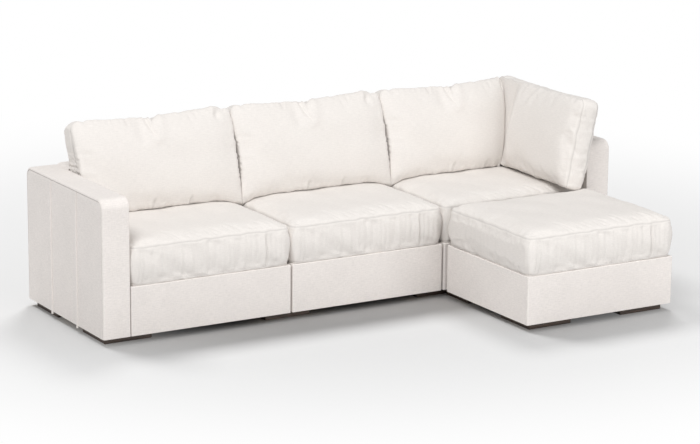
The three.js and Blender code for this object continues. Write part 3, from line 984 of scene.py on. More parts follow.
class Shell:
    """A closed skin of quads over a box of lattice lines: two panels and boxing between them."""

    def __init__(self, *lines: np.ndarray) -> None:
        """Numbers the points on the box's surface.

        Args:
            lines: places of the lattice lines along the three axes, from 0 to 1.
        """
        self.lines = lines
        counts = [len(places) for places in lines]
        grid = np.indices(counts)
        last = np.array(counts).reshape(3, 1, 1, 1) - 1
        outside = ((grid == 0) | (grid == last)).any(0)
        self.number = np.full(counts, -1)
        self.number[outside] = np.arange(outside.sum())
        self.place = np.stack([lines[axis][grid[axis][outside]] for axis in range(3)], 1)

    def face(self, face: Face) -> np.ndarray:
        """Numbers of the points on one face, by their two other axes."""
        axis, end = face.value
        return np.take(self.number, end, axis)

    def quads(self) -> np.ndarray:
        """The quads of all six faces, pointing outwards.

        Returns:
            Four points for each quad.
        """
        parts = []
        for face in Face:
            axis, end = face.value
            near, far = self.face(face)[:-1], self.face(face)[1:]
            quad = np.stack([near[:, :-1], far[:, :-1], far[:, 1:], near[:, 1:]], -1).reshape(-1, 4)
            parts.append(quad[:, ::-1] if (end == -1) == (axis == 1) else quad)
        return np.concatenate(parts)

    def mesh(self, name: str, points: np.ndarray) -> bpy.types.Mesh:
        """A smooth mesh of the skin with its points at some places.

        Args:
            name: the mesh's name.
            points: the places.

        Returns:
            The mesh.
        """
        made = bpy.data.meshes.new(name)
        made.from_pydata(points.tolist(), [], self.quads().tolist())
        made.shade_smooth()
        made.update()
        return made

    def resampled(self, points: np.ndarray, finer: "Shell") -> np.ndarray:
        """Points of a finer skin on the surface of this one.

        Args:
            points: places of this skin's points.
            finer: the finer skin.

        Returns:
            Places of the finer skin's points.
        """
        out = np.zeros((len(finer.place), 3))
        for face in Face:
            first, second = (cubic_weights(self.lines[a], finer.lines[a]) for a in face.others())
            patch = points[self.face(face)]
            out[finer.face(face)] = np.einsum("ia,abk,jb->ijk", first, patch, second, optimize=True)
        return out


def cubic_weights(old: np.ndarray, new: np.ndarray) -> np.ndarray:
    """How much each old sample counts at each new place on a smooth curve through the old ones.

    Args:
        old: places of the old samples.
        new: the new places.

    Returns:
        A row for each new place, with a weight for each old sample.
    """
    spot = np.interp(new, old, np.arange(len(old)))
    base = np.minimum(spot.astype(int), len(old) - 2)
    t = spot - base
    shares = (
        ((-t + 2) * t - 1) * t / 2,
        ((3 * t - 5) * t * t + 2) / 2,
        ((-3 * t + 4) * t + 1) * t / 2,
        (t - 1) * t * t / 2,
    )
    weights = np.zeros((len(new), len(old) + 2))
    for shift, share in enumerate(shares):
        weights[np.arange(len(new)), base + shift] += share
    weights[:, 1] += 2 * weights[:, 0]
    weights[:, 2] -= weights[:, 0]
    weights[:, -2] += 2 * weights[:, -1]
    weights[:, -3] -= weights[:, -1]
    return weights[:, 1:-1]


def seam_lines(length: float, step: float) -> np.ndarray:
    """Lattice lines over a length: close beside the seams at its ends, and even between.

    Args:
        length: the length in metres.
        step: distance between even lines.

    Returns:
        The lines' places, from 0 to 1.
    """
    near = np.array(BESIDE_SEAM)
    count = max(2, round((length - 2 * FIRST_EVEN) / step) + 1)
    middle = np.linspace(FIRST_EVEN, length - FIRST_EVEN, count)
    return np.concatenate([near, middle, length - near[::-1]]) / length


def even_lines(length: float, step: float) -> np.ndarray:
    """Even lattice lines over a length."""
    return np.linspace(0, 1, max(3, round(length / step)) + 1)


def ripples(across: np.ndarray, along: np.ndarray, pitch: float, seed: int) -> np.ndarray:
    """Smooth irregular waves of about one pitch, mostly between -1 and 1.

    Args:
        across: places one way, in metres.
        along: places the other way.
        pitch: length of the waves.
        seed: seed of the random draws.

    Returns:
        The height at each place.
    """
    waves, shortest, longest = 9, 0.65, 1.6
    draw = np.random.default_rng(seed)
    turn, phase = draw.uniform(0, 2 * np.pi, (2, waves, 1))
    reach = 2 * np.pi / (pitch * draw.uniform(shortest, longest, (waves, 1)))
    total = np.sin(reach * (across * np.cos(turn) + along * np.sin(turn)) + phase).sum(0)
    return total / math.sqrt(waves)


@dataclass(frozen=True)
class Fold:
    """A fold of the cloth along a line on one face.

    Its places are in metres from the middle of the face. A height below nothing is a crease, and
    the lee is a softer roll on the line's left side, its place and width in widths of the fold.
    The fold fades in and out over shares of its length.
    """

    face: Face
    start: Pair
    end: Pair
    height: float
    width: float
    bow: float = 0.0
    lee: float = 0.0
    lee_place: float = 2.1
    lee_width: float = 1.5
    fade_in: Pair = (-0.12, 0.22)
    fade_out: Pair = (-0.12, 0.30)

    def lift(self, across: np.ndarray, along: np.ndarray) -> np.ndarray:
        """How far the fold lifts the cloth at some places of its face.

        Args:
            across: places along the face's first axis.
            along: places along its second axis.

        Returns:
            The lift at each place.
        """
        run = np.subtract(self.end, self.start)
        length = np.hypot(*run)
        run = run / length
        off = across - self.start[0], along - self.start[1]
        t = (off[0] * run[0] + off[1] * run[1]) / length
        side = off[1] * run[0] - off[0] * run[1] - self.bow * 4 * t * (1 - t)
        fade = eased(t, *self.fade_in) * eased(1 - t, *self.fade_out)
        crest = self.height * bell(side, 0, self.width)
        roll = self.lee * bell(side, self.lee_place * self.width, self.lee_width * self.width)
        return fade * (crest + roll)


@dataclass(frozen=True)
class BoxedForm:
    """Sizes of a boxed cushion about the middle of its seams."""

    width: float
    depth: float
    boxing: float
    crown_above: float
    crown_below: float
    fullness: float
    fullness_along: float
    swell: float
    swell_front: float
    draw: float
    corner_pull: float
    corner: float
    near_corner: float
    fullness_below: float

    def lines(self, step: float, spread: Callable[[float, float], np.ndarray]) -> Shell:
        """A skin with lattice lines about a step apart."""
        return Shell(*(spread(length, step) for length in (self.width, self.depth, self.boxing)))

    def outline(self, s: np.ndarray, t: np.ndarray) -> tuple[np.ndarray, np.ndarray]:
        """Place in plan of a point of the panels, its corners rounded and its sides drawn in.

        Args:
            s: places across, from -1 to 1.
            t: places along, from -1 to 1.

        Returns:
            The places across and along, in metres.
        """
        half = self.width / 2, self.depth / 2
        corner = np.where(t < 0, self.near_corner, self.corner)
        reach = [
            np.clip((np.abs(share) * side - (side - corner)) / corner, 0, 1)
            for share, side in zip((s, t), half)
        ]
        round_off = [corner * a * (1 - np.sqrt(1 - b * b / 2)) for a, b in (reach, reach[::-1])]
        pull = self.corner_pull * np.abs(s * t) ** 4
        x = s * half[0] - np.sign(s) * (round_off[0] + self.draw * (1 - t * t) * np.abs(s) + pull)
        y = t * half[1] - np.sign(t) * (round_off[1] + self.draw * (1 - s * s) * np.abs(t) + pull)
        return x, y

    def points(self, shell: Shell, puff: float) -> np.ndarray:
        """The cushion's points, its crowns and swells times a puff.

        Args:
            shell: the lattice.
            puff: share of the full crowns and swells.

        Returns:
            Each point's place.
        """
        s, t, w = (2 * shell.place - 1).T
        x, y = self.outline(s, t)
        z = w * self.boxing / 2
        crowns = (
            (1, self.crown_above, self.fullness, self.fullness_along),
            (-1, self.crown_below, self.fullness_below, self.fullness_below),
        )
        for side, crown, across, along in crowns:
            panel = np.sqrt(np.clip((1 - np.abs(s) ** across) * (1 - np.abs(t) ** along), 0, 1))
            z = z + np.where(w == side, side * crown * panel * puff, 0)
        out = np.cos(w * np.pi / 2) * puff
        x = x + np.where(np.abs(s) == 1, np.sign(s) * self.swell * out, 0)
        y = y + np.where(np.abs(t) == 1, np.sign(t) * self.swell_front * out, 0)
        return np.stack([x, y, z], 1)


def inflate(mesh: bpy.types.Mesh, pins: np.ndarray, slack: float, cap: float) -> np.ndarray:
    """Blows a closed skin up with the cloth simulation.

    Args:
        mesh: the skin, a little slimmer than it will be.
        pins: how firmly each point is held, from 0 to 1, full along the seams.
        slack: share by which the free cloth is cut larger than the skin.
        cap: the furthest that a point may move, in metres.

    Returns:
        The points of the skin after it settles.
    """
    start = points_of(mesh)
    piece = bpy.data.objects.new("skin", mesh)
    bpy.context.scene.collection.objects.link(piece)
    group = piece.vertex_groups.new(name="seams")
    for level in np.unique(pins.round(2)):
        group.add(np.flatnonzero(pins.round(2) == level).tolist(), float(level), "REPLACE")
    cloth = piece.modifiers.new("cloth", "CLOTH")
    settings = cloth.settings
    settings.quality = 5
    settings.mass = 0.25
    settings.tension_stiffness = settings.compression_stiffness = 18
    settings.shear_stiffness = 6
    settings.bending_stiffness = 0.15
    settings.use_pressure = True
    settings.uniform_pressure_force = 4
    settings.effector_weights.gravity = 0
    settings.vertex_group_shrink = "seams"
    settings.shrink_min = -slack
    settings.shrink_max = slack * HELD_SHRINK
    cloth.collision_settings.use_collision = False
    cloth.point_cache.frame_start, cloth.point_cache.frame_end = 1, INFLATE_FRAMES
    scene = bpy.context.scene
    for step in range(INFLATE_FRAMES):
        scene.frame_set(step + 1)
    settle(piece)
    scene.frame_set(1)
    move = points_of(piece.data) - start
    bpy.data.objects.remove(piece)
    far = np.linalg.norm(move, axis=1, keepdims=True)
    return start + move * np.minimum(1, cap / np.maximum(far, 1e-9))


@dataclass
class Skin:
    """A cushion's finished skin: its lattice, its points and their shares of painted shade along
    seams and in creases.
    """

    shell: Shell
    points: np.ndarray
    shade: np.ndarray

    def piece(self, name: str, pose: Matrix) -> bpy.types.Object:
        """One cushion of this skin in place, mapped in its own frame.

        Args:
            name: the cushion's name.
            pose: its place and turn.

        Returns:
            The cushion.
        """
        mesh = self.shell.mesh(name, self.points)
        map_cloth(mesh)
        mark_painted_shade(mesh, self.shade)
        mesh.transform(pose)
        made = bpy.data.objects.new(name, mesh)
        bpy.context.scene.collection.objects.link(made)
        return made


@dataclass
class BoxedCushion:
    """A stuffed cushion with two crowned panels and boxing sewn between them."""

    form: BoxedForm
    folds: tuple[Fold, ...]
    seed: int
    slack: float
    slimness: float = 0.62
    cap: float = 0.026
    pin_width: float = 0.012
    fullest_percent: float = 98
    evenness: float = 0.5
    lies_flat: bool = False
    sim_step: float = 0.0125
    step: float = 0.0062
    seam_depth: float = 0.0016
    seam_width: float = 0.0036
    seam_shade_width: float = 0.0026
    bead: float = 0.0009
    bead_place: Pair = (0.009, 0.005)
    pucker: float = 0.0012
    pucker_place: Pair = (0.016, 0.018)
    pucker_pitch: float = 0.034
    undulation: float = 0.0022
    undulation_pitch: float = 0.19
    undulation_start: Pair = (0.004, 0.045)
    wander: float = 0.0016
    wander_pitch: float = 0.085
    wander_width: float = 0.028
    fold_start: float = 0.012
    crease_width: float = 0.010
    crease_depth: float = 0.006
    crease_shade: float = 0.35

    def skin(self) -> Skin:
        """The cushion's finished skin about its own middle.

        Returns:
            The skin.
        """
        form = self.form
        fine = form.lines(self.step, seam_lines)
        plump = form.points(fine, 1.0)
        plump = self._simulated(fine, plump)
        mesh = fine.mesh("draft", plump)
        outward = normals_of(mesh)
        bpy.data.meshes.remove(mesh)
        rise, crease = self._relief(fine, plump)
        # Painted shade: dark bands along the seams and in the bottoms of narrow creases.
        seam = bell(self._to_seam(fine), 0, self.seam_shade_width)
        shade = np.maximum(seam, self.crease_shade * crease)
        return Skin(fine, plump + outward * rise[:, None] + self._wander(fine, plump), shade)

    def _wander(self, shell: Shell, points: np.ndarray) -> np.ndarray:
        """How far each point strays with the hand-fed seams.

        Args:
            shell: the lattice.
            points: its points' places.

        Returns:
            Each point's shift.
        """
        beside = self.wander * bell(self._to_seam(shell), 0, self.wander_width)
        turned = points[:, 0] + points[:, 2], points[:, 1] - points[:, 2]
        seeds = range(self.seed + 5, self.seed + 8)
        return np.stack([beside * ripples(*turned, self.wander_pitch, seed) for seed in seeds], 1)

    def _simulated(self, fine: Shell, plump: np.ndarray) -> np.ndarray:
        """The skin blown up from a slimmer one, brought to the plump one's crowns and boxing.

        Args:
            fine: the finished lattice.
            plump: its points in the plain form.

        Returns:
            Its points after the simulation.
        """
        form = self.form
        coarse = form.lines(self.sim_step, even_lines)
        slim = coarse.mesh("slim", form.points(coarse, self.slimness))
        pins = bell(self._to_seam(coarse), 0, self.pin_width)
        blown = coarse.resampled(inflate(slim, pins, self.slack, self.cap), fine)
        half = form.boxing / 2
        for face, side, crown in (
            (Face.ABOVE, 1, form.crown_above),
            (Face.BELOW, -1, form.crown_below),
        ):
            rows = fine.face(face).ravel()
            rise = blown[rows, 2] * side - half
            fullest = np.percentile(rise, self.fullest_percent)
            blown[rows, 2] = side * (half + rise * crown / fullest)
        seams = self._to_seam(fine) == 0
        for axis in (0, 1):
            share = np.ptp(plump[seams, axis]) / np.ptp(blown[seams, axis])
            blown[:, axis] = (blown[:, axis] - blown[seams, axis].mean()) * share
        blown += (plump - blown) * self.evenness
        if self.lies_flat:
            rows = fine.face(Face.BELOW)
            blown[rows] = plump[rows]
        return blown

    def _to_seam(self, shell: Shell) -> np.ndarray:
        """Distance of each point from the nearest seam, along the cloth.

        Args:
            shell: the lattice.

        Returns:
            Each point's distance.
        """
        form = self.form
        edge = [np.minimum(shell.place[:, axis], 1 - shell.place[:, axis]) for axis in range(3)]
        panel = np.minimum(edge[0] * form.width, edge[1] * form.depth)
        flat = (shell.place[:, 2] == 0) | (shell.place[:, 2] == 1)
        return np.where(flat, panel, edge[2] * form.boxing)

    def _relief(self, shell: Shell, points: np.ndarray) -> tuple[np.ndarray, np.ndarray]:
        """How far the cloth stands off the blown skin, and each point's share of painted shade in a
        crease.

        Args:
            shell: the lattice.
            points: its points' places.

        Returns:
            Each point's rise and share.
        """
        seam = self._to_seam(shell)
        across, along, up = points.T
        waves = ripples(across + up, along + up, self.undulation_pitch, self.seed)
        rise = self.undulation * eased(seam, *self.undulation_start) * waves
        waves = ripples(across, along, self.pucker_pitch, self.seed + 1)
        rise += self.pucker * bell(seam, *self.pucker_place) * waves
        crease = np.zeros(len(rise))
        for fold in self.folds:
            rows = shell.face(fold.face).ravel()
            lift = fold.lift(*points[rows][:, fold.face.others()].T)
            rise[rows] += lift * eased(seam[rows], 0.0, self.fold_start)
            # Narrow creases get a share of painted shade at their bottoms.
            if fold.width < self.crease_width:
                crease[rows] += np.clip(-lift / self.crease_depth, 0, 1)
        rise -= self.seam_depth * bell(seam, 0, self.seam_width)
        rise += self.bead * bell(seam, *self.bead_place)
        return rise, np.clip(crease, 0, 1)


def place_padded(piece: bpy.types.Object, node: str, body: str) -> None:
    """Dresses a stuffed piece and puts it in its node's place."""
    install(piece, Slot.CUSHION, node, body)


def surface_of(*pieces: bpy.types.Object) -> BVHTree:
    """The surface of some pieces, to rest others on.

    Args:
        pieces: the pieces.

    Returns:
        The surface.
    """
    points: list = []
    faces: list = []
    for piece in pieces:
        mesh = piece.data
        faces += [[corner + len(points) for corner in face.vertices] for face in mesh.polygons]
        points += [vertex.co.copy() for vertex in mesh.vertices]
    return BVHTree.FromPolygons(points, faces)


def rest_on(
    mesh: bpy.types.Mesh, surface: BVHTree, gap: float = 0.0006, reach: float = 0.10
) -> None:
    """Lifts the points of a mesh that sink into a surface below them.

    Args:
        mesh: the mesh that rests.
        surface: what carries it.
        gap: how far its points stay above the surface.
        reach: height above the mesh's lowest point, over which nothing touches.
    """
    points = points_of(mesh)
    lowest, highest = points[:, 2].min(), points[:, 2].max()
    for i in np.flatnonzero(points[:, 2] < lowest + reach):
        hit = surface.ray_cast(Vector((*points[i, :2], highest)), Vector((0, 0, -1)))[0]
        if hit is not None:
            points[i, 2] = max(points[i, 2], hit.z + gap)
    put_points(mesh, points)


def rolled(
    points: np.ndarray, form: BoxedForm, past_ends: float, past_top: float
) -> np.ndarray:
    """Rolls a pillow's front panel out past its seams.

    Args:
        points: the pillow's points.
        form: the pillow's form.
        past_ends: how far the panel rolls past the ends' seams, in metres.
        past_top: how far it rolls past the top seam.

    Returns:
        The points with the panel rolled.
    """
    start, full, corner_loss = 0.10, 0.01, 0.7
    rise = np.clip((points[:, 2] - form.boxing / 2) / form.crown_above, 0, 1)
    side, top = (
        eased(place, size / 2 - start, size / 2 - full)
        for place, size in ((np.abs(points[:, 0]), form.width), (points[:, 1], form.depth))
    )
    roll = 2 * np.sqrt(rise * (1 - rise)) * (1 - corner_loss * side * top)
    out = points.copy()
    out[:, 0] += np.sign(points[:, 0]) * side * roll * past_ends
    out[:, 1] += top * roll * past_top
    return out


@dataclass
class SeatCushions:
    """The four loose seat cushions, cut and filled alike.

    Their folds are drawn at random: heights, widths and spacings lie between two sizes in metres,
    and reaches, runs and places are shares of half the face.
    """

    layout: Layout
    inset: float = 0.003
    foot_seam: float = 0.288
    foot_gap: float = 0.0003
    crown: float = 0.046
    fill: float = 0.8
    side_limit: float = 0.4435
    base_gap: float = 0.0004
    back_gap: float = 0.0010
    upright_reach: Pair = (-0.90, 0.91)
    upright_lean: float = 0.006
    upright_heights: Pair = (0.0010, 0.0027)
    upright_signs: tuple[int, ...] = (-1, -1, -1, 1)
    upright_widths: Pair = (0.0062, 0.0115)
    upright_runs: tuple[Pair, ...] = ((-1.2, 1.2), (-1.2, 1.2), (-0.5, 1.2))
    upright_lee: float = 0.3
    upright_spacing: Pair = (0.020, 0.054)
    deep_fold_places: Pair = (0.70, 0.69)
    deep_fold_run: float = 1.1
    deep_fold_depth: float = 0.0070
    deep_fold_width: float = 0.0065
    deep_fold_lee: float = 0.003
    pucker_reach: Pair = (-0.42, 0.97)
    pucker_lengths: Pair = (0.055, 0.115)
    pucker_slants: Pair = (0.35, 0.75)
    pucker_depths: Pair = (0.0016, 0.0032)
    pucker_widths: Pair = (0.0055, 0.0090)
    pucker_lee: float = 0.0014
    pucker_ends: Pair = (0.004, 0.006)
    pucker_turn: float = 0.002
    pucker_spacing: Pair = (0.028, 0.062)

    def build(self) -> list[bpy.types.Object]:
        """Models one cushion and lays it on each base.

        Returns:
            The cushions, the chaise's last.
        """
        layout = self.layout
        low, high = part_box("seat_1_cover")
        form = BoxedForm(
            width=high.x - low.x - 2 * self.inset,
            depth=high.y - low.y - 2 * self.inset,
            boxing=TOP_SEAM - self.foot_seam,
            crown_above=self.crown,
            crown_below=self.foot_seam - layout.base_top - self.foot_gap,
            fullness=6.5,
            fullness_along=4.6,
            swell=0.017,
            swell_front=0.012,
            draw=0.003,
            corner_pull=0.001,
            corner=0.042,
            near_corner=0.042,
            fullness_below=200,
        )
        cushion = BoxedCushion(
            form, self._folds(form), seed=11, slack=0.03, step=0.0052, lies_flat=True
        )
        skin = cushion.skin()
        points = skin.points
        middle = (TOP_SEAM + self.foot_seam) / 2
        rear = layout.back_inner - layout.seat_middle - self.back_gap
        points[:, 0] = np.clip(points[:, 0], -self.side_limit, self.side_limit)
        points[:, 1] = np.minimum(points[:, 1], rear)
        points[:, 2] = np.maximum(points[:, 2], layout.base_top + self.base_gap - middle)
        places = [
            (f"seat_{i + 1}_cushion", f"loose_cushion_{i + 1}", i, layout.seat_middle)
            for i in range(SEATS)
        ]
        places.append(("chaise_cushion", "loose_chaise_cushion", SEATS - 1, layout.chaise_middle))
        made = []
        for node, body, column, y in places:
            pose = Matrix.Translation((layout.column(column), y, middle))
            piece = skin.piece(f"{node}_cloth", pose)
            place_padded(piece, node, body)
            made.append(piece)
        return made

    def _folds(self, form: BoxedForm) -> tuple[Fold, ...]:
        """Upright folds of the boxing, and short slanting puckers along the front seam.

        Args:
            form: the cushion's form.

        Returns:
            The folds.
        """
        draw = np.random.default_rng(5)
        half, front, deep = form.width / 2, -form.depth / 2, form.boxing / 2
        folds = []
        for face in (Face.NEAR, Face.FAR, Face.LEFT, Face.RIGHT):
            reach = half if face in (Face.NEAR, Face.FAR) else -front
            x, last = (share * reach for share in self.upright_reach)
            while x < last:
                lean = draw.uniform(-self.upright_lean, self.upright_lean)
                height = draw.uniform(*self.upright_heights) * draw.choice(self.upright_signs)
                width = draw.uniform(*self.upright_widths)
                low, high = draw.choice(self.upright_runs) * deep
                start, end = (x - lean, low), (x + lean, high)
                lee = self.upright_lee * abs(height)
                folds.append(Fold(face, start, end, height, width, lee=lee))
                x += draw.uniform(*self.upright_spacing)
        foot, top = (share * half for share in self.deep_fold_places)
        run = self.deep_fold_run * deep
        depth, width, lee = self.deep_fold_depth, self.deep_fold_width, self.deep_fold_lee
        folds.append(Fold(Face.NEAR, (foot, -run), (top, run), -depth, width, lee=lee))
        x, last = (share * half for share in self.pucker_reach)
        while x < last:
            length = draw.uniform(*self.pucker_lengths)
            slant = draw.uniform(*self.pucker_slants)
            far, near = (front + distance for distance in self.pucker_ends)
            start, end = (x - slant * length, far + length), (x + self.pucker_turn, near)
            depth = draw.uniform(*self.pucker_depths)
            width = draw.uniform(*self.pucker_widths)
            folds.append(Fold(Face.ABOVE, start, end, -depth, width, lee=self.pucker_lee))
            x += draw.uniform(*self.pucker_spacing)
        return tuple(folds)


@dataclass
class BackPillows:
    """The three pillows that lean on the backs, the last one pressed by the corner pillow.

    The edges are given as shares of the length and rises in millimetres.
    """

    layout: Layout
    seat_surface: BVHTree
    gap: float = 0.003
    swell: float = 0.012
    top_swell: float = 0.003
    end_limit: float = 0.4437
    end_hollow: float = 0.0075
    hollow_middle: float = -0.03
    hollow_reach: float = 0.12
    gather: float = 0.55
    gather_pitch: float = 0.022
    gather_most: float = 1.6
    ends_apart: float = 0.3
    roll_side: float = 0.020
    roll_top: float = 0.016
    height: float = 0.486
    boxing: float = 0.078
    crown: float = 0.084
    back_crown: float = 0.042
    lean: float = 17.0
    from_back: float = 0.097
    below_top: float = 0.02
    seat: float = 0.025
    fill: float = 0.55
    top_edge: tuple[Pair, ...] = (
        (0.00, -8), (0.04, 0), (0.08, -9), (0.12, -5), (0.25, -12), (0.43, -16), (0.475, -24),
        (0.49, -42), (0.51, -26), (0.54, -13), (0.65, -10), (0.83, -3), (0.88, 4), (0.93, -2),
        (0.955, -14), (0.99, 0), (1.0, -4),
    )
    foot_edge: tuple[Pair, ...] = (
        (0.00, -26), (0.03, -20), (0.08, -7), (0.14, 0),
        (0.86, 0), (0.92, -7), (0.97, -20), (1.0, -26),
    )
    top_edge_start: float = 0.02
    foot_edge_start: float = 0.12
    edge_full: float = 0.01
    press_gap: float = 0.001
    press_run: float = 0.10
    press_spare: float = 0.004

    def form(self) -> BoxedForm:
        """The form of one pillow.

        Returns:
            The form.
        """
        return BoxedForm(
            width=self.layout.pitch - self.gap,
            depth=self.height,
            boxing=self.boxing,
            crown_above=self.crown,
            crown_below=self.back_crown,
            fullness=5.8,
            fullness_along=2.3,
            swell=self.swell,
            swell_front=self.top_swell,
            draw=0.002,
            corner_pull=0.0,
            corner=0.046,
            near_corner=0.008,
            fullness_below=2.4,
        )

    def build(self, pressed_by: "CornerPillow") -> list[bpy.types.Object]:
        """Models one pillow, leans a copy on each back and presses the last.

        Args:
            pressed_by: the pillow that presses the last one's end.

        Returns:
            The pillows from left to right.
        """
        form = self.form()
        skin = BoxedCushion(
            form,
            self._folds(),
            seed=23,
            slack=0.015,
            undulation=0.0018,
            undulation_pitch=0.24,
            evenness=0.7,
        ).skin()
        points = rolled(skin.points, form, self.roll_side, self.roll_top)
        skin.points = self._ended(self._eared(points, form))
        made = []
        for i in range(SEATS):
            pose = self._pose(self.layout.column(i))
            piece = skin.piece(f"back_pillow_{i + 1}_cloth", pose)
            if i == SEATS - 1:
                self._press(piece.data, pressed_by)
            self._hold_back(piece.data)
            rest_on(piece.data, self.seat_surface)
            place_padded(piece, f"back_pillow_{i + 1}", f"loose_pillow_{i + 1}")
            made.append(piece)
        return made

    def _pose(self, x: float) -> Matrix:
        """Place of a pillow that leans on the back of one column.

        Args:
            x: the column's middle.

        Returns:
            The place.
        """
        lean = math.radians(self.lean)
        middle = TOP_SEAM + self.seat + self.height / 2 * math.cos(lean)
        place = Matrix.Translation((x, self.layout.back_inner - self.from_back, middle))
        return place @ Matrix.Rotation(math.pi / 2 - lean, 4, "X")

    def _ended(self, points: np.ndarray) -> np.ndarray:
        """Presses the ends flat against the neighbours', with a hollow at half height.

        Args:
            points: the pillow's points.

        Returns:
            The points with pressed ends.
        """
        hollow = np.exp(-(((points[:, 1] - self.hollow_middle) / self.hollow_reach) ** 4))
        apart = self.ends_apart * np.sign(points[:, 0])
        waves = ripples(points[:, 1] + apart, points[:, 2], self.gather_pitch, seed=71)
        gathered = np.clip(1 + self.gather * waves, 0, self.gather_most)
        limit = self.end_limit - self.end_hollow * hollow * gathered
        out = points.copy()
        out[:, 0] = np.clip(points[:, 0], -limit, limit)
        return out

    def _eared(self, points: np.ndarray, form: BoxedForm) -> np.ndarray:
        """Gives the top edge its ears, notch and sag, and lets the lower corners settle.

        Args:
            points: the pillow's points.
            form: the pillow's form.

        Returns:
            The points with shaped edges.
        """
        share = points[:, 0] / form.width + 0.5
        full = form.depth / 2 - self.edge_full
        out = points.copy()
        for edge, side, start in (
            (self.top_edge, 1, self.top_edge_start),
            (self.foot_edge, -1, self.foot_edge_start),
        ):
            shares, rises = np.array(edge).T
            weight = eased(side * points[:, 1], start, full)
            out[:, 1] += np.interp(share, shares, rises) / 1000 * weight
        return out

    def _hold_back(self, mesh: bpy.types.Mesh) -> None:
        """Flattens the pillow where it meets the back.

        Args:
            mesh: the pillow in its place.
        """
        points = points_of(mesh)
        _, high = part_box("back_1_cover")
        beside = points[:, 2] < high.z - self.below_top
        limit = np.where(beside, self.layout.back_inner - WALL_GAP, np.inf)
        points[:, 1] = np.minimum(points[:, 1], limit)
        put_points(mesh, points)

    def _press(self, mesh: bpy.types.Mesh, corner: "CornerPillow") -> None:
        """Squeezes the pillow's end against the corner pillow's slanting front.

        Args:
            mesh: the pillow in its place.
            corner: the corner pillow.
        """
        points = points_of(mesh)
        limit = corner.front_plane(points[:, 2]) - self.press_gap
        start = limit - self.press_run
        reach = points[:, 0].max() + self.press_spare - start
        share = np.clip((points[:, 0] - start) / reach, 0, 1)
        pressed = start + self.press_run * (1 - (1 - share) ** (reach / self.press_run))
        points[:, 0] = np.where(points[:, 0] > start, pressed, points[:, 0])
        put_points(mesh, points)

    def _folds(self) -> tuple[Fold, ...]:
        """The creases and rolls of one pillow's front and ends.

        Returns:
            The folds.
        """
        front = Face.ABOVE
        return (
            Fold(front, (-0.168, 0.248), (-0.156, 0.190), -0.0060, 0.008, bow=0.010, lee=0.003),
            Fold(front, (-0.040, 0.250), (-0.012, 0.140), -0.0095, 0.010, bow=-0.008, lee=0.007),
            Fold(front, (0.030, 0.236), (-0.006, 0.085), 0.0090, 0.034),
            Fold(front, (-0.088, 0.215), (-0.080, 0.085), -0.0080, 0.030),
            Fold(front, (0.186, 0.244), (0.196, 0.178), -0.0026, 0.009, lee=0.0020),
            Fold(front, (0.228, 0.244), (0.232, 0.185), -0.0022, 0.008, lee=0.0016),
            Fold(front, (0.392, 0.250), (0.340, 0.170), -0.0150, 0.017, lee=0.004),
            Fold(front, (0.405, 0.19), (0.402, -0.19), 0.0040, 0.013),
            Fold(front, (-0.066, -0.240), (-0.054, -0.190), -0.0062, 0.007, lee=0.0025),
            Fold(front, (0.142, -0.240), (0.152, -0.192), -0.0058, 0.007, lee=0.0025),
            Fold(front, (0.30, -0.240), (0.285, -0.20), -0.0022, 0.011),
            Fold(front, (-0.30, -0.240), (-0.275, -0.195), -0.0022, 0.011),
            Fold(front, (-0.43, 0.075), (-0.36, 0.068), -0.0018, 0.010, lee=0.0012),
            Fold(front, (-0.43, -0.045), (-0.37, -0.050), -0.0016, 0.010, lee=0.0012),
            Fold(Face.LEFT, (0.120, -0.05), (0.108, 0.05), -0.0042, 0.008, lee=0.0025),
            Fold(Face.LEFT, (0.060, -0.05), (0.052, 0.05), -0.0036, 0.008, lee=0.0025),
            Fold(Face.LEFT, (-0.05, -0.05), (-0.055, 0.05), -0.0026, 0.010),
            Fold(Face.RIGHT, (0.120, -0.05), (0.108, 0.05), -0.0042, 0.008, lee=0.0025),
            Fold(Face.RIGHT, (0.020, -0.05), (0.012, 0.05), -0.0036, 0.010),
        )


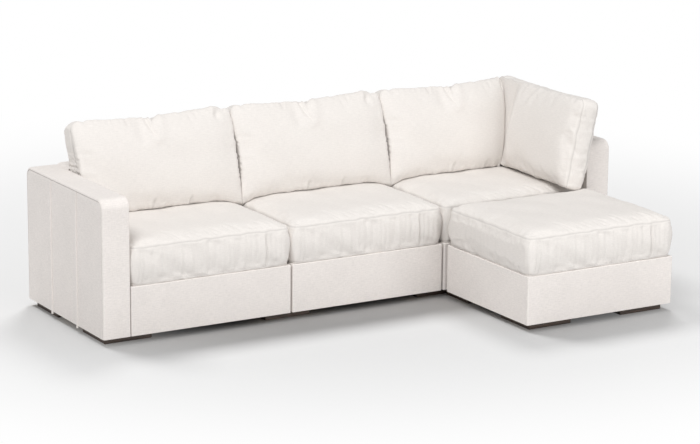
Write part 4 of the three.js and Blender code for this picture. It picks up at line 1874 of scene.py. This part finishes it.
@dataclass
class CornerPillow:
    """The pillow across the corner, leaning on the side panel and passing the row's front."""

    layout: Layout
    seat_surface: BVHTree
    height: float = 0.475
    boxing: float = 0.094
    swell: float = 0.010
    overhang: float = 0.127
    from_back: float = 0.042
    lean: float = 12.0
    from_panel: float = 0.113
    seat: float = 0.042
    crown: float = 0.068
    back_crown: float = 0.074
    flat_end: float = 0.186
    flat_run: float = 0.112
    roll_top: float = 0.017
    drape: float = 1.4
    fill: float = 0.55

    def length(self) -> float:
        """Length from end to end."""
        return self.layout.back_inner - self.from_back - self.layout.row_front + self.overhang

    def middle(self) -> Vector:
        """The pillow's middle.

        Returns:
            The middle.
        """
        front = self.layout.row_front - self.overhang
        height = TOP_SEAM + self.seat + self.height / 2 * math.cos(math.radians(self.lean))
        return Vector((self.layout.row_right - self.from_panel, front + self.length() / 2, height))

    def front_plane(self, height: np.ndarray) -> np.ndarray:
        """X of the pillow's front seams at some heights.

        Args:
            height: the heights.

        Returns:
            X at each height.
        """
        lean = math.radians(self.lean)
        middle = self.middle()
        return middle.x - self.boxing / 2 / math.cos(lean) + (height - middle.z) * math.tan(lean)

    def build(self) -> bpy.types.Object:
        """Makes the pillow and sets it in place.

        Returns:
            The pillow.
        """
        form = BoxedForm(
            width=self.length() - 2 * self.swell,
            depth=self.height,
            boxing=self.boxing,
            crown_above=self.crown,
            crown_below=self.back_crown,
            fullness=3.2,
            fullness_along=1.9,
            swell=self.swell,
            swell_front=self.swell,
            draw=0.006,
            corner_pull=0.006,
            corner=0.034,
            near_corner=0.014,
            fullness_below=2.4,
        )
        skin = BoxedCushion(
            form,
            self._folds(),
            seed=41,
            slack=0.015,
            undulation=0.0018,
            undulation_pitch=0.24,
            wander=0.0026,
        ).skin()
        points = skin.points
        flat = self.flat_end - self.length() / 2
        share = eased(points[:, 0], flat, flat + self.flat_run)
        crown = np.clip(points[:, 2] - self.boxing / 2, 0, None)
        points[:, 2] -= crown * (1 - share)
        skin.points = rolled(points, form, 0.0, self.roll_top)
        upright = Matrix.Rotation(math.pi / 2 - math.radians(self.lean), 4, "X")
        turns = Matrix.Rotation(-math.pi / 2, 4, "Z") @ upright
        piece = skin.piece("corner_pillow_cloth", Matrix.Translation(self.middle()) @ turns)
        placed = points_of(piece.data)
        _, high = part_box("right_side_cover")
        over = np.clip(placed[:, 2] - high.z, 0, None) * self.drape
        placed[:, 0] = np.minimum(placed[:, 0], self.layout.row_right - WALL_GAP + over)
        put_points(piece.data, placed)
        rest_on(piece.data, self.seat_surface)
        place_padded(piece, "corner_pillow", "loose_corner_pillow")
        return piece

    def _folds(self) -> tuple[Fold, ...]:
        """The creases of the pillow's front and of the end that shows.

        Returns:
            The folds.
        """
        front = Face.ABOVE
        return (
            Fold(front, (0.012, 0.232), (-0.046, 0.150), -0.0044, 0.009, lee=0.004),
            Fold(front, (-0.072, 0.232), (-0.118, 0.186), -0.0036, 0.009, lee=0.0030),
            Fold(front, (0.315, 0.236), (0.352, 0.200), -0.0050, 0.009, lee=0.002),
            Fold(front, (0.20, 0.234), (0.18, 0.18), -0.0026, 0.008, lee=0.0015),
            Fold(front, (-0.186, -0.160), (-0.129, -0.232), -0.0045, 0.008, lee=0.002),
            Fold(front, (0.036, -0.180), (0.058, -0.232), -0.0045, 0.007, lee=0.002),
            Fold(front, (0.111, -0.174), (0.128, -0.232), -0.0045, 0.007, lee=0.002),
            Fold(Face.RIGHT, (0.085, -0.05), (0.080, 0.05), -0.0018, 0.010, lee=0.0010),
            Fold(Face.RIGHT, (-0.045, -0.05), (-0.052, 0.05), -0.0018, 0.010, lee=0.0010),
            Fold(Face.RIGHT, (-0.115, -0.05), (-0.122, 0.05), -0.0022, 0.010, lee=0.0012),
            Fold(front, (0.400, 0.180), (0.403, -0.190), 0.0045, 0.014),
        )


# Studio


class FloorLight(Enum):
    """Whether a lamp leaves out the floor or lights the floor alone."""

    LEFT_OUT = "EXCLUDE"
    ALONE = "INCLUDE"


@dataclass(frozen=True)
class Lamp:
    """A large soft round lamp aimed at the sofa, its power in watts."""

    name: str
    place: Triple
    size: float
    power: float
    floor: FloorLight
    aim: Triple = (0.0, 0.0, 0.4)

    def hang(self, floor: bpy.types.Object) -> None:
        """Hangs the lamp over a floor.

        Args:
            floor: the floor.
        """
        lamp = bpy.data.lights.new(self.name, "AREA")
        lamp.shape = "DISK"
        lamp.size = self.size
        lamp.energy = self.power
        holder = bpy.data.objects.new(self.name, lamp)
        bpy.context.scene.collection.objects.link(holder)
        holder.location = self.place
        aim = Vector(self.aim) - Vector(self.place)
        holder.rotation_euler = aim.to_track_quat("-Z", "Y").to_euler()
        receivers = bpy.data.collections.new(f"{self.name}_receivers")
        receivers.objects.link(floor)
        receivers.collection_objects[0].light_linking.link_state = self.floor.value
        holder.light_linking.receiver_collection = receivers


@dataclass(frozen=True)
class Studio:
    """Pale floor, white surroundings, soft lamps and the camera at the photograph's angle."""

    eye: Triple = (-6.6457, -11.0977, 3.5936)
    yaw: float = 30.619
    down: float = 13.726
    roll: float = 0.511
    lens: float = 135.73
    sensor: float = 36.0
    floor_tone: Triple = (0.62, 0.62, 0.62)
    floor_reach: float = 60.0
    fade_middle: Pair = (0.4, 1.32)
    fade_stretch: float = 0.97
    fade: Pair = (1.65, 3.85)
    sky: float = 0.485
    lamps: tuple[Lamp, ...] = (
        Lamp("key", (-8.1, -7.0, 15.8), 9.0, 2130.0, FloorLight.LEFT_OUT),
        Lamp("front", (2.4, -9.0, 1.6), 4.5, 262.0, FloorLight.LEFT_OUT),
        Lamp("shadow_1", (-5.0, 13.6, 20.0), 8.4, 3250.0, FloorLight.ALONE),
        Lamp("shadow_2", (9.0, 13.0, 20.0), 8.4, 3250.0, FloorLight.ALONE),
    )

    def build(self) -> None:
        """Sets up the floor, the light and the camera."""
        floor = self._floor()
        self._world()
        for lamp in self.lamps:
            lamp.hang(floor)
        self._camera()
        bpy.context.scene.view_settings.view_transform = "Standard"

    def _seen(self, recipe: Recipe) -> Signal:
        """One for rays that show the background, and nothing for light.

        Args:
            recipe: the nodes that read it.

        Returns:
            The signal.
        """
        path = recipe.node("ShaderNodeLightPath")
        camera, glossy, through = (
            Signal(recipe, path.outputs[f"Is {kind} Ray"])
            for kind in ("Camera", "Glossy", "Transmission")
        )
        return camera.larger(glossy).larger(through)

    def _floor(self) -> bpy.types.Object:
        """A wide matt floor that fades to white towards the front and the sides.

        Returns:
            The floor.
        """
        bpy.ops.object.select_all(action="DESELECT")
        bpy.ops.mesh.primitive_plane_add(size=2 * self.floor_reach)
        floor = bpy.context.active_object
        floor.name = "floor"
        recipe, material = Recipe.of_material("floor_white")
        across, along = self.fade_middle
        shift = (-across, -along * self.fade_stretch, 0.0)
        where = recipe.node("ShaderNodeTexCoord").outputs["Object"]
        inputs = {"Vector": where, "Location": shift, "Scale": (1.0, self.fade_stretch, 0.0)}
        moved = recipe.node("ShaderNodeMapping", None, inputs).outputs["Vector"]
        length = recipe.node("ShaderNodeVectorMath", {"operation": "LENGTH"}, {0: moved})
        far = Signal(recipe, length.outputs["Value"])
        matt = recipe.node("ShaderNodeBsdfDiffuse", None, {"Color": (*self.floor_tone, 1.0)})
        white = recipe.node("ShaderNodeEmission", None, {"Strength": 1.0})
        share = far.between(*self.fade) * self._seen(recipe)
        mixed = recipe.mix_shaders(share, matt, white)
        recipe.node("ShaderNodeOutputMaterial", None, {"Surface": mixed})
        floor.data.materials.append(material)
        return floor

    def _world(self) -> None:
        """An even sky that light sees at its own level and the camera sees as white."""
        world = bpy.data.worlds.new("surroundings")
        world.use_nodes = True
        bpy.context.scene.world = world
        recipe = Recipe(world.node_tree)
        even, white = (
            recipe.node("ShaderNodeBackground", None, {"Color": (1, 1, 1, 1), "Strength": strength})
            for strength in (self.sky, 1.0)
        )
        mixed = recipe.mix_shaders(self._seen(recipe), even, white)
        recipe.node("ShaderNodeOutputWorld", None, {"Surface": mixed})

    def _camera(self) -> None:
        """The camera of the photograph."""
        yaw, down, roll = (math.radians(angle) for angle in (self.yaw, self.down, self.roll))
        level = Vector((math.cos(yaw), -math.sin(yaw), 0))
        flat_ahead = Vector((math.sin(yaw), math.cos(yaw), 0))
        ahead = flat_ahead * math.cos(down) - Vector((0, 0, math.sin(down)))
        over = level.cross(ahead)
        right = level * math.cos(roll) + over * math.sin(roll)
        up = right.cross(ahead)
        camera = bpy.data.cameras.new("camera")
        camera.sensor_width = self.sensor
        camera.lens = self.lens
        holder = bpy.data.objects.new("camera", camera)
        bpy.context.scene.collection.objects.link(holder)
        turn = Matrix((right, up, -ahead)).transposed().to_4x4()
        holder.matrix_world = Matrix.Translation(self.eye) @ turn
        bpy.context.scene.camera = holder


def dress_frames() -> None:
    """Gives the CAD nodes that stay in sight their finishes."""
    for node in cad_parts.values():
        slot = Slot(node.data.materials[0].name.split(".")[0])
        for place in node.material_slots:
            place.material = MATERIALS[slot]


def main() -> None:
    """Builds every piece in order."""
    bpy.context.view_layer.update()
    layout = Layout.read()
    dress_frames()
    backs = [f"back_{i + 1}_cover" for i in range(SEATS)]
    pieces = [
        *(BaseCover(f"{base}_cover", body).build() for base, body in BASES.items()),
        *UprightCovers(backs, Facing.BACK).build(),
        *UprightCovers(["left_arm_cover"], Facing.LEFT).build(),
        *UprightCovers(["right_side_cover"], Facing.RIGHT).build(),
        *DustCovers().build(),
    ]
    seats = SeatCushions(layout).build()
    surface = surface_of(*seats)
    corner = CornerPillow(layout, surface)
    pieces += [*seats, corner.build(), *BackPillows(layout, surface).build(corner)]
    for piece in pieces:
        log.info("%s: %d faces", piece.name, len(piece.data.polygons))
    Studio().build()


if __name__ == "__main__":
    main()
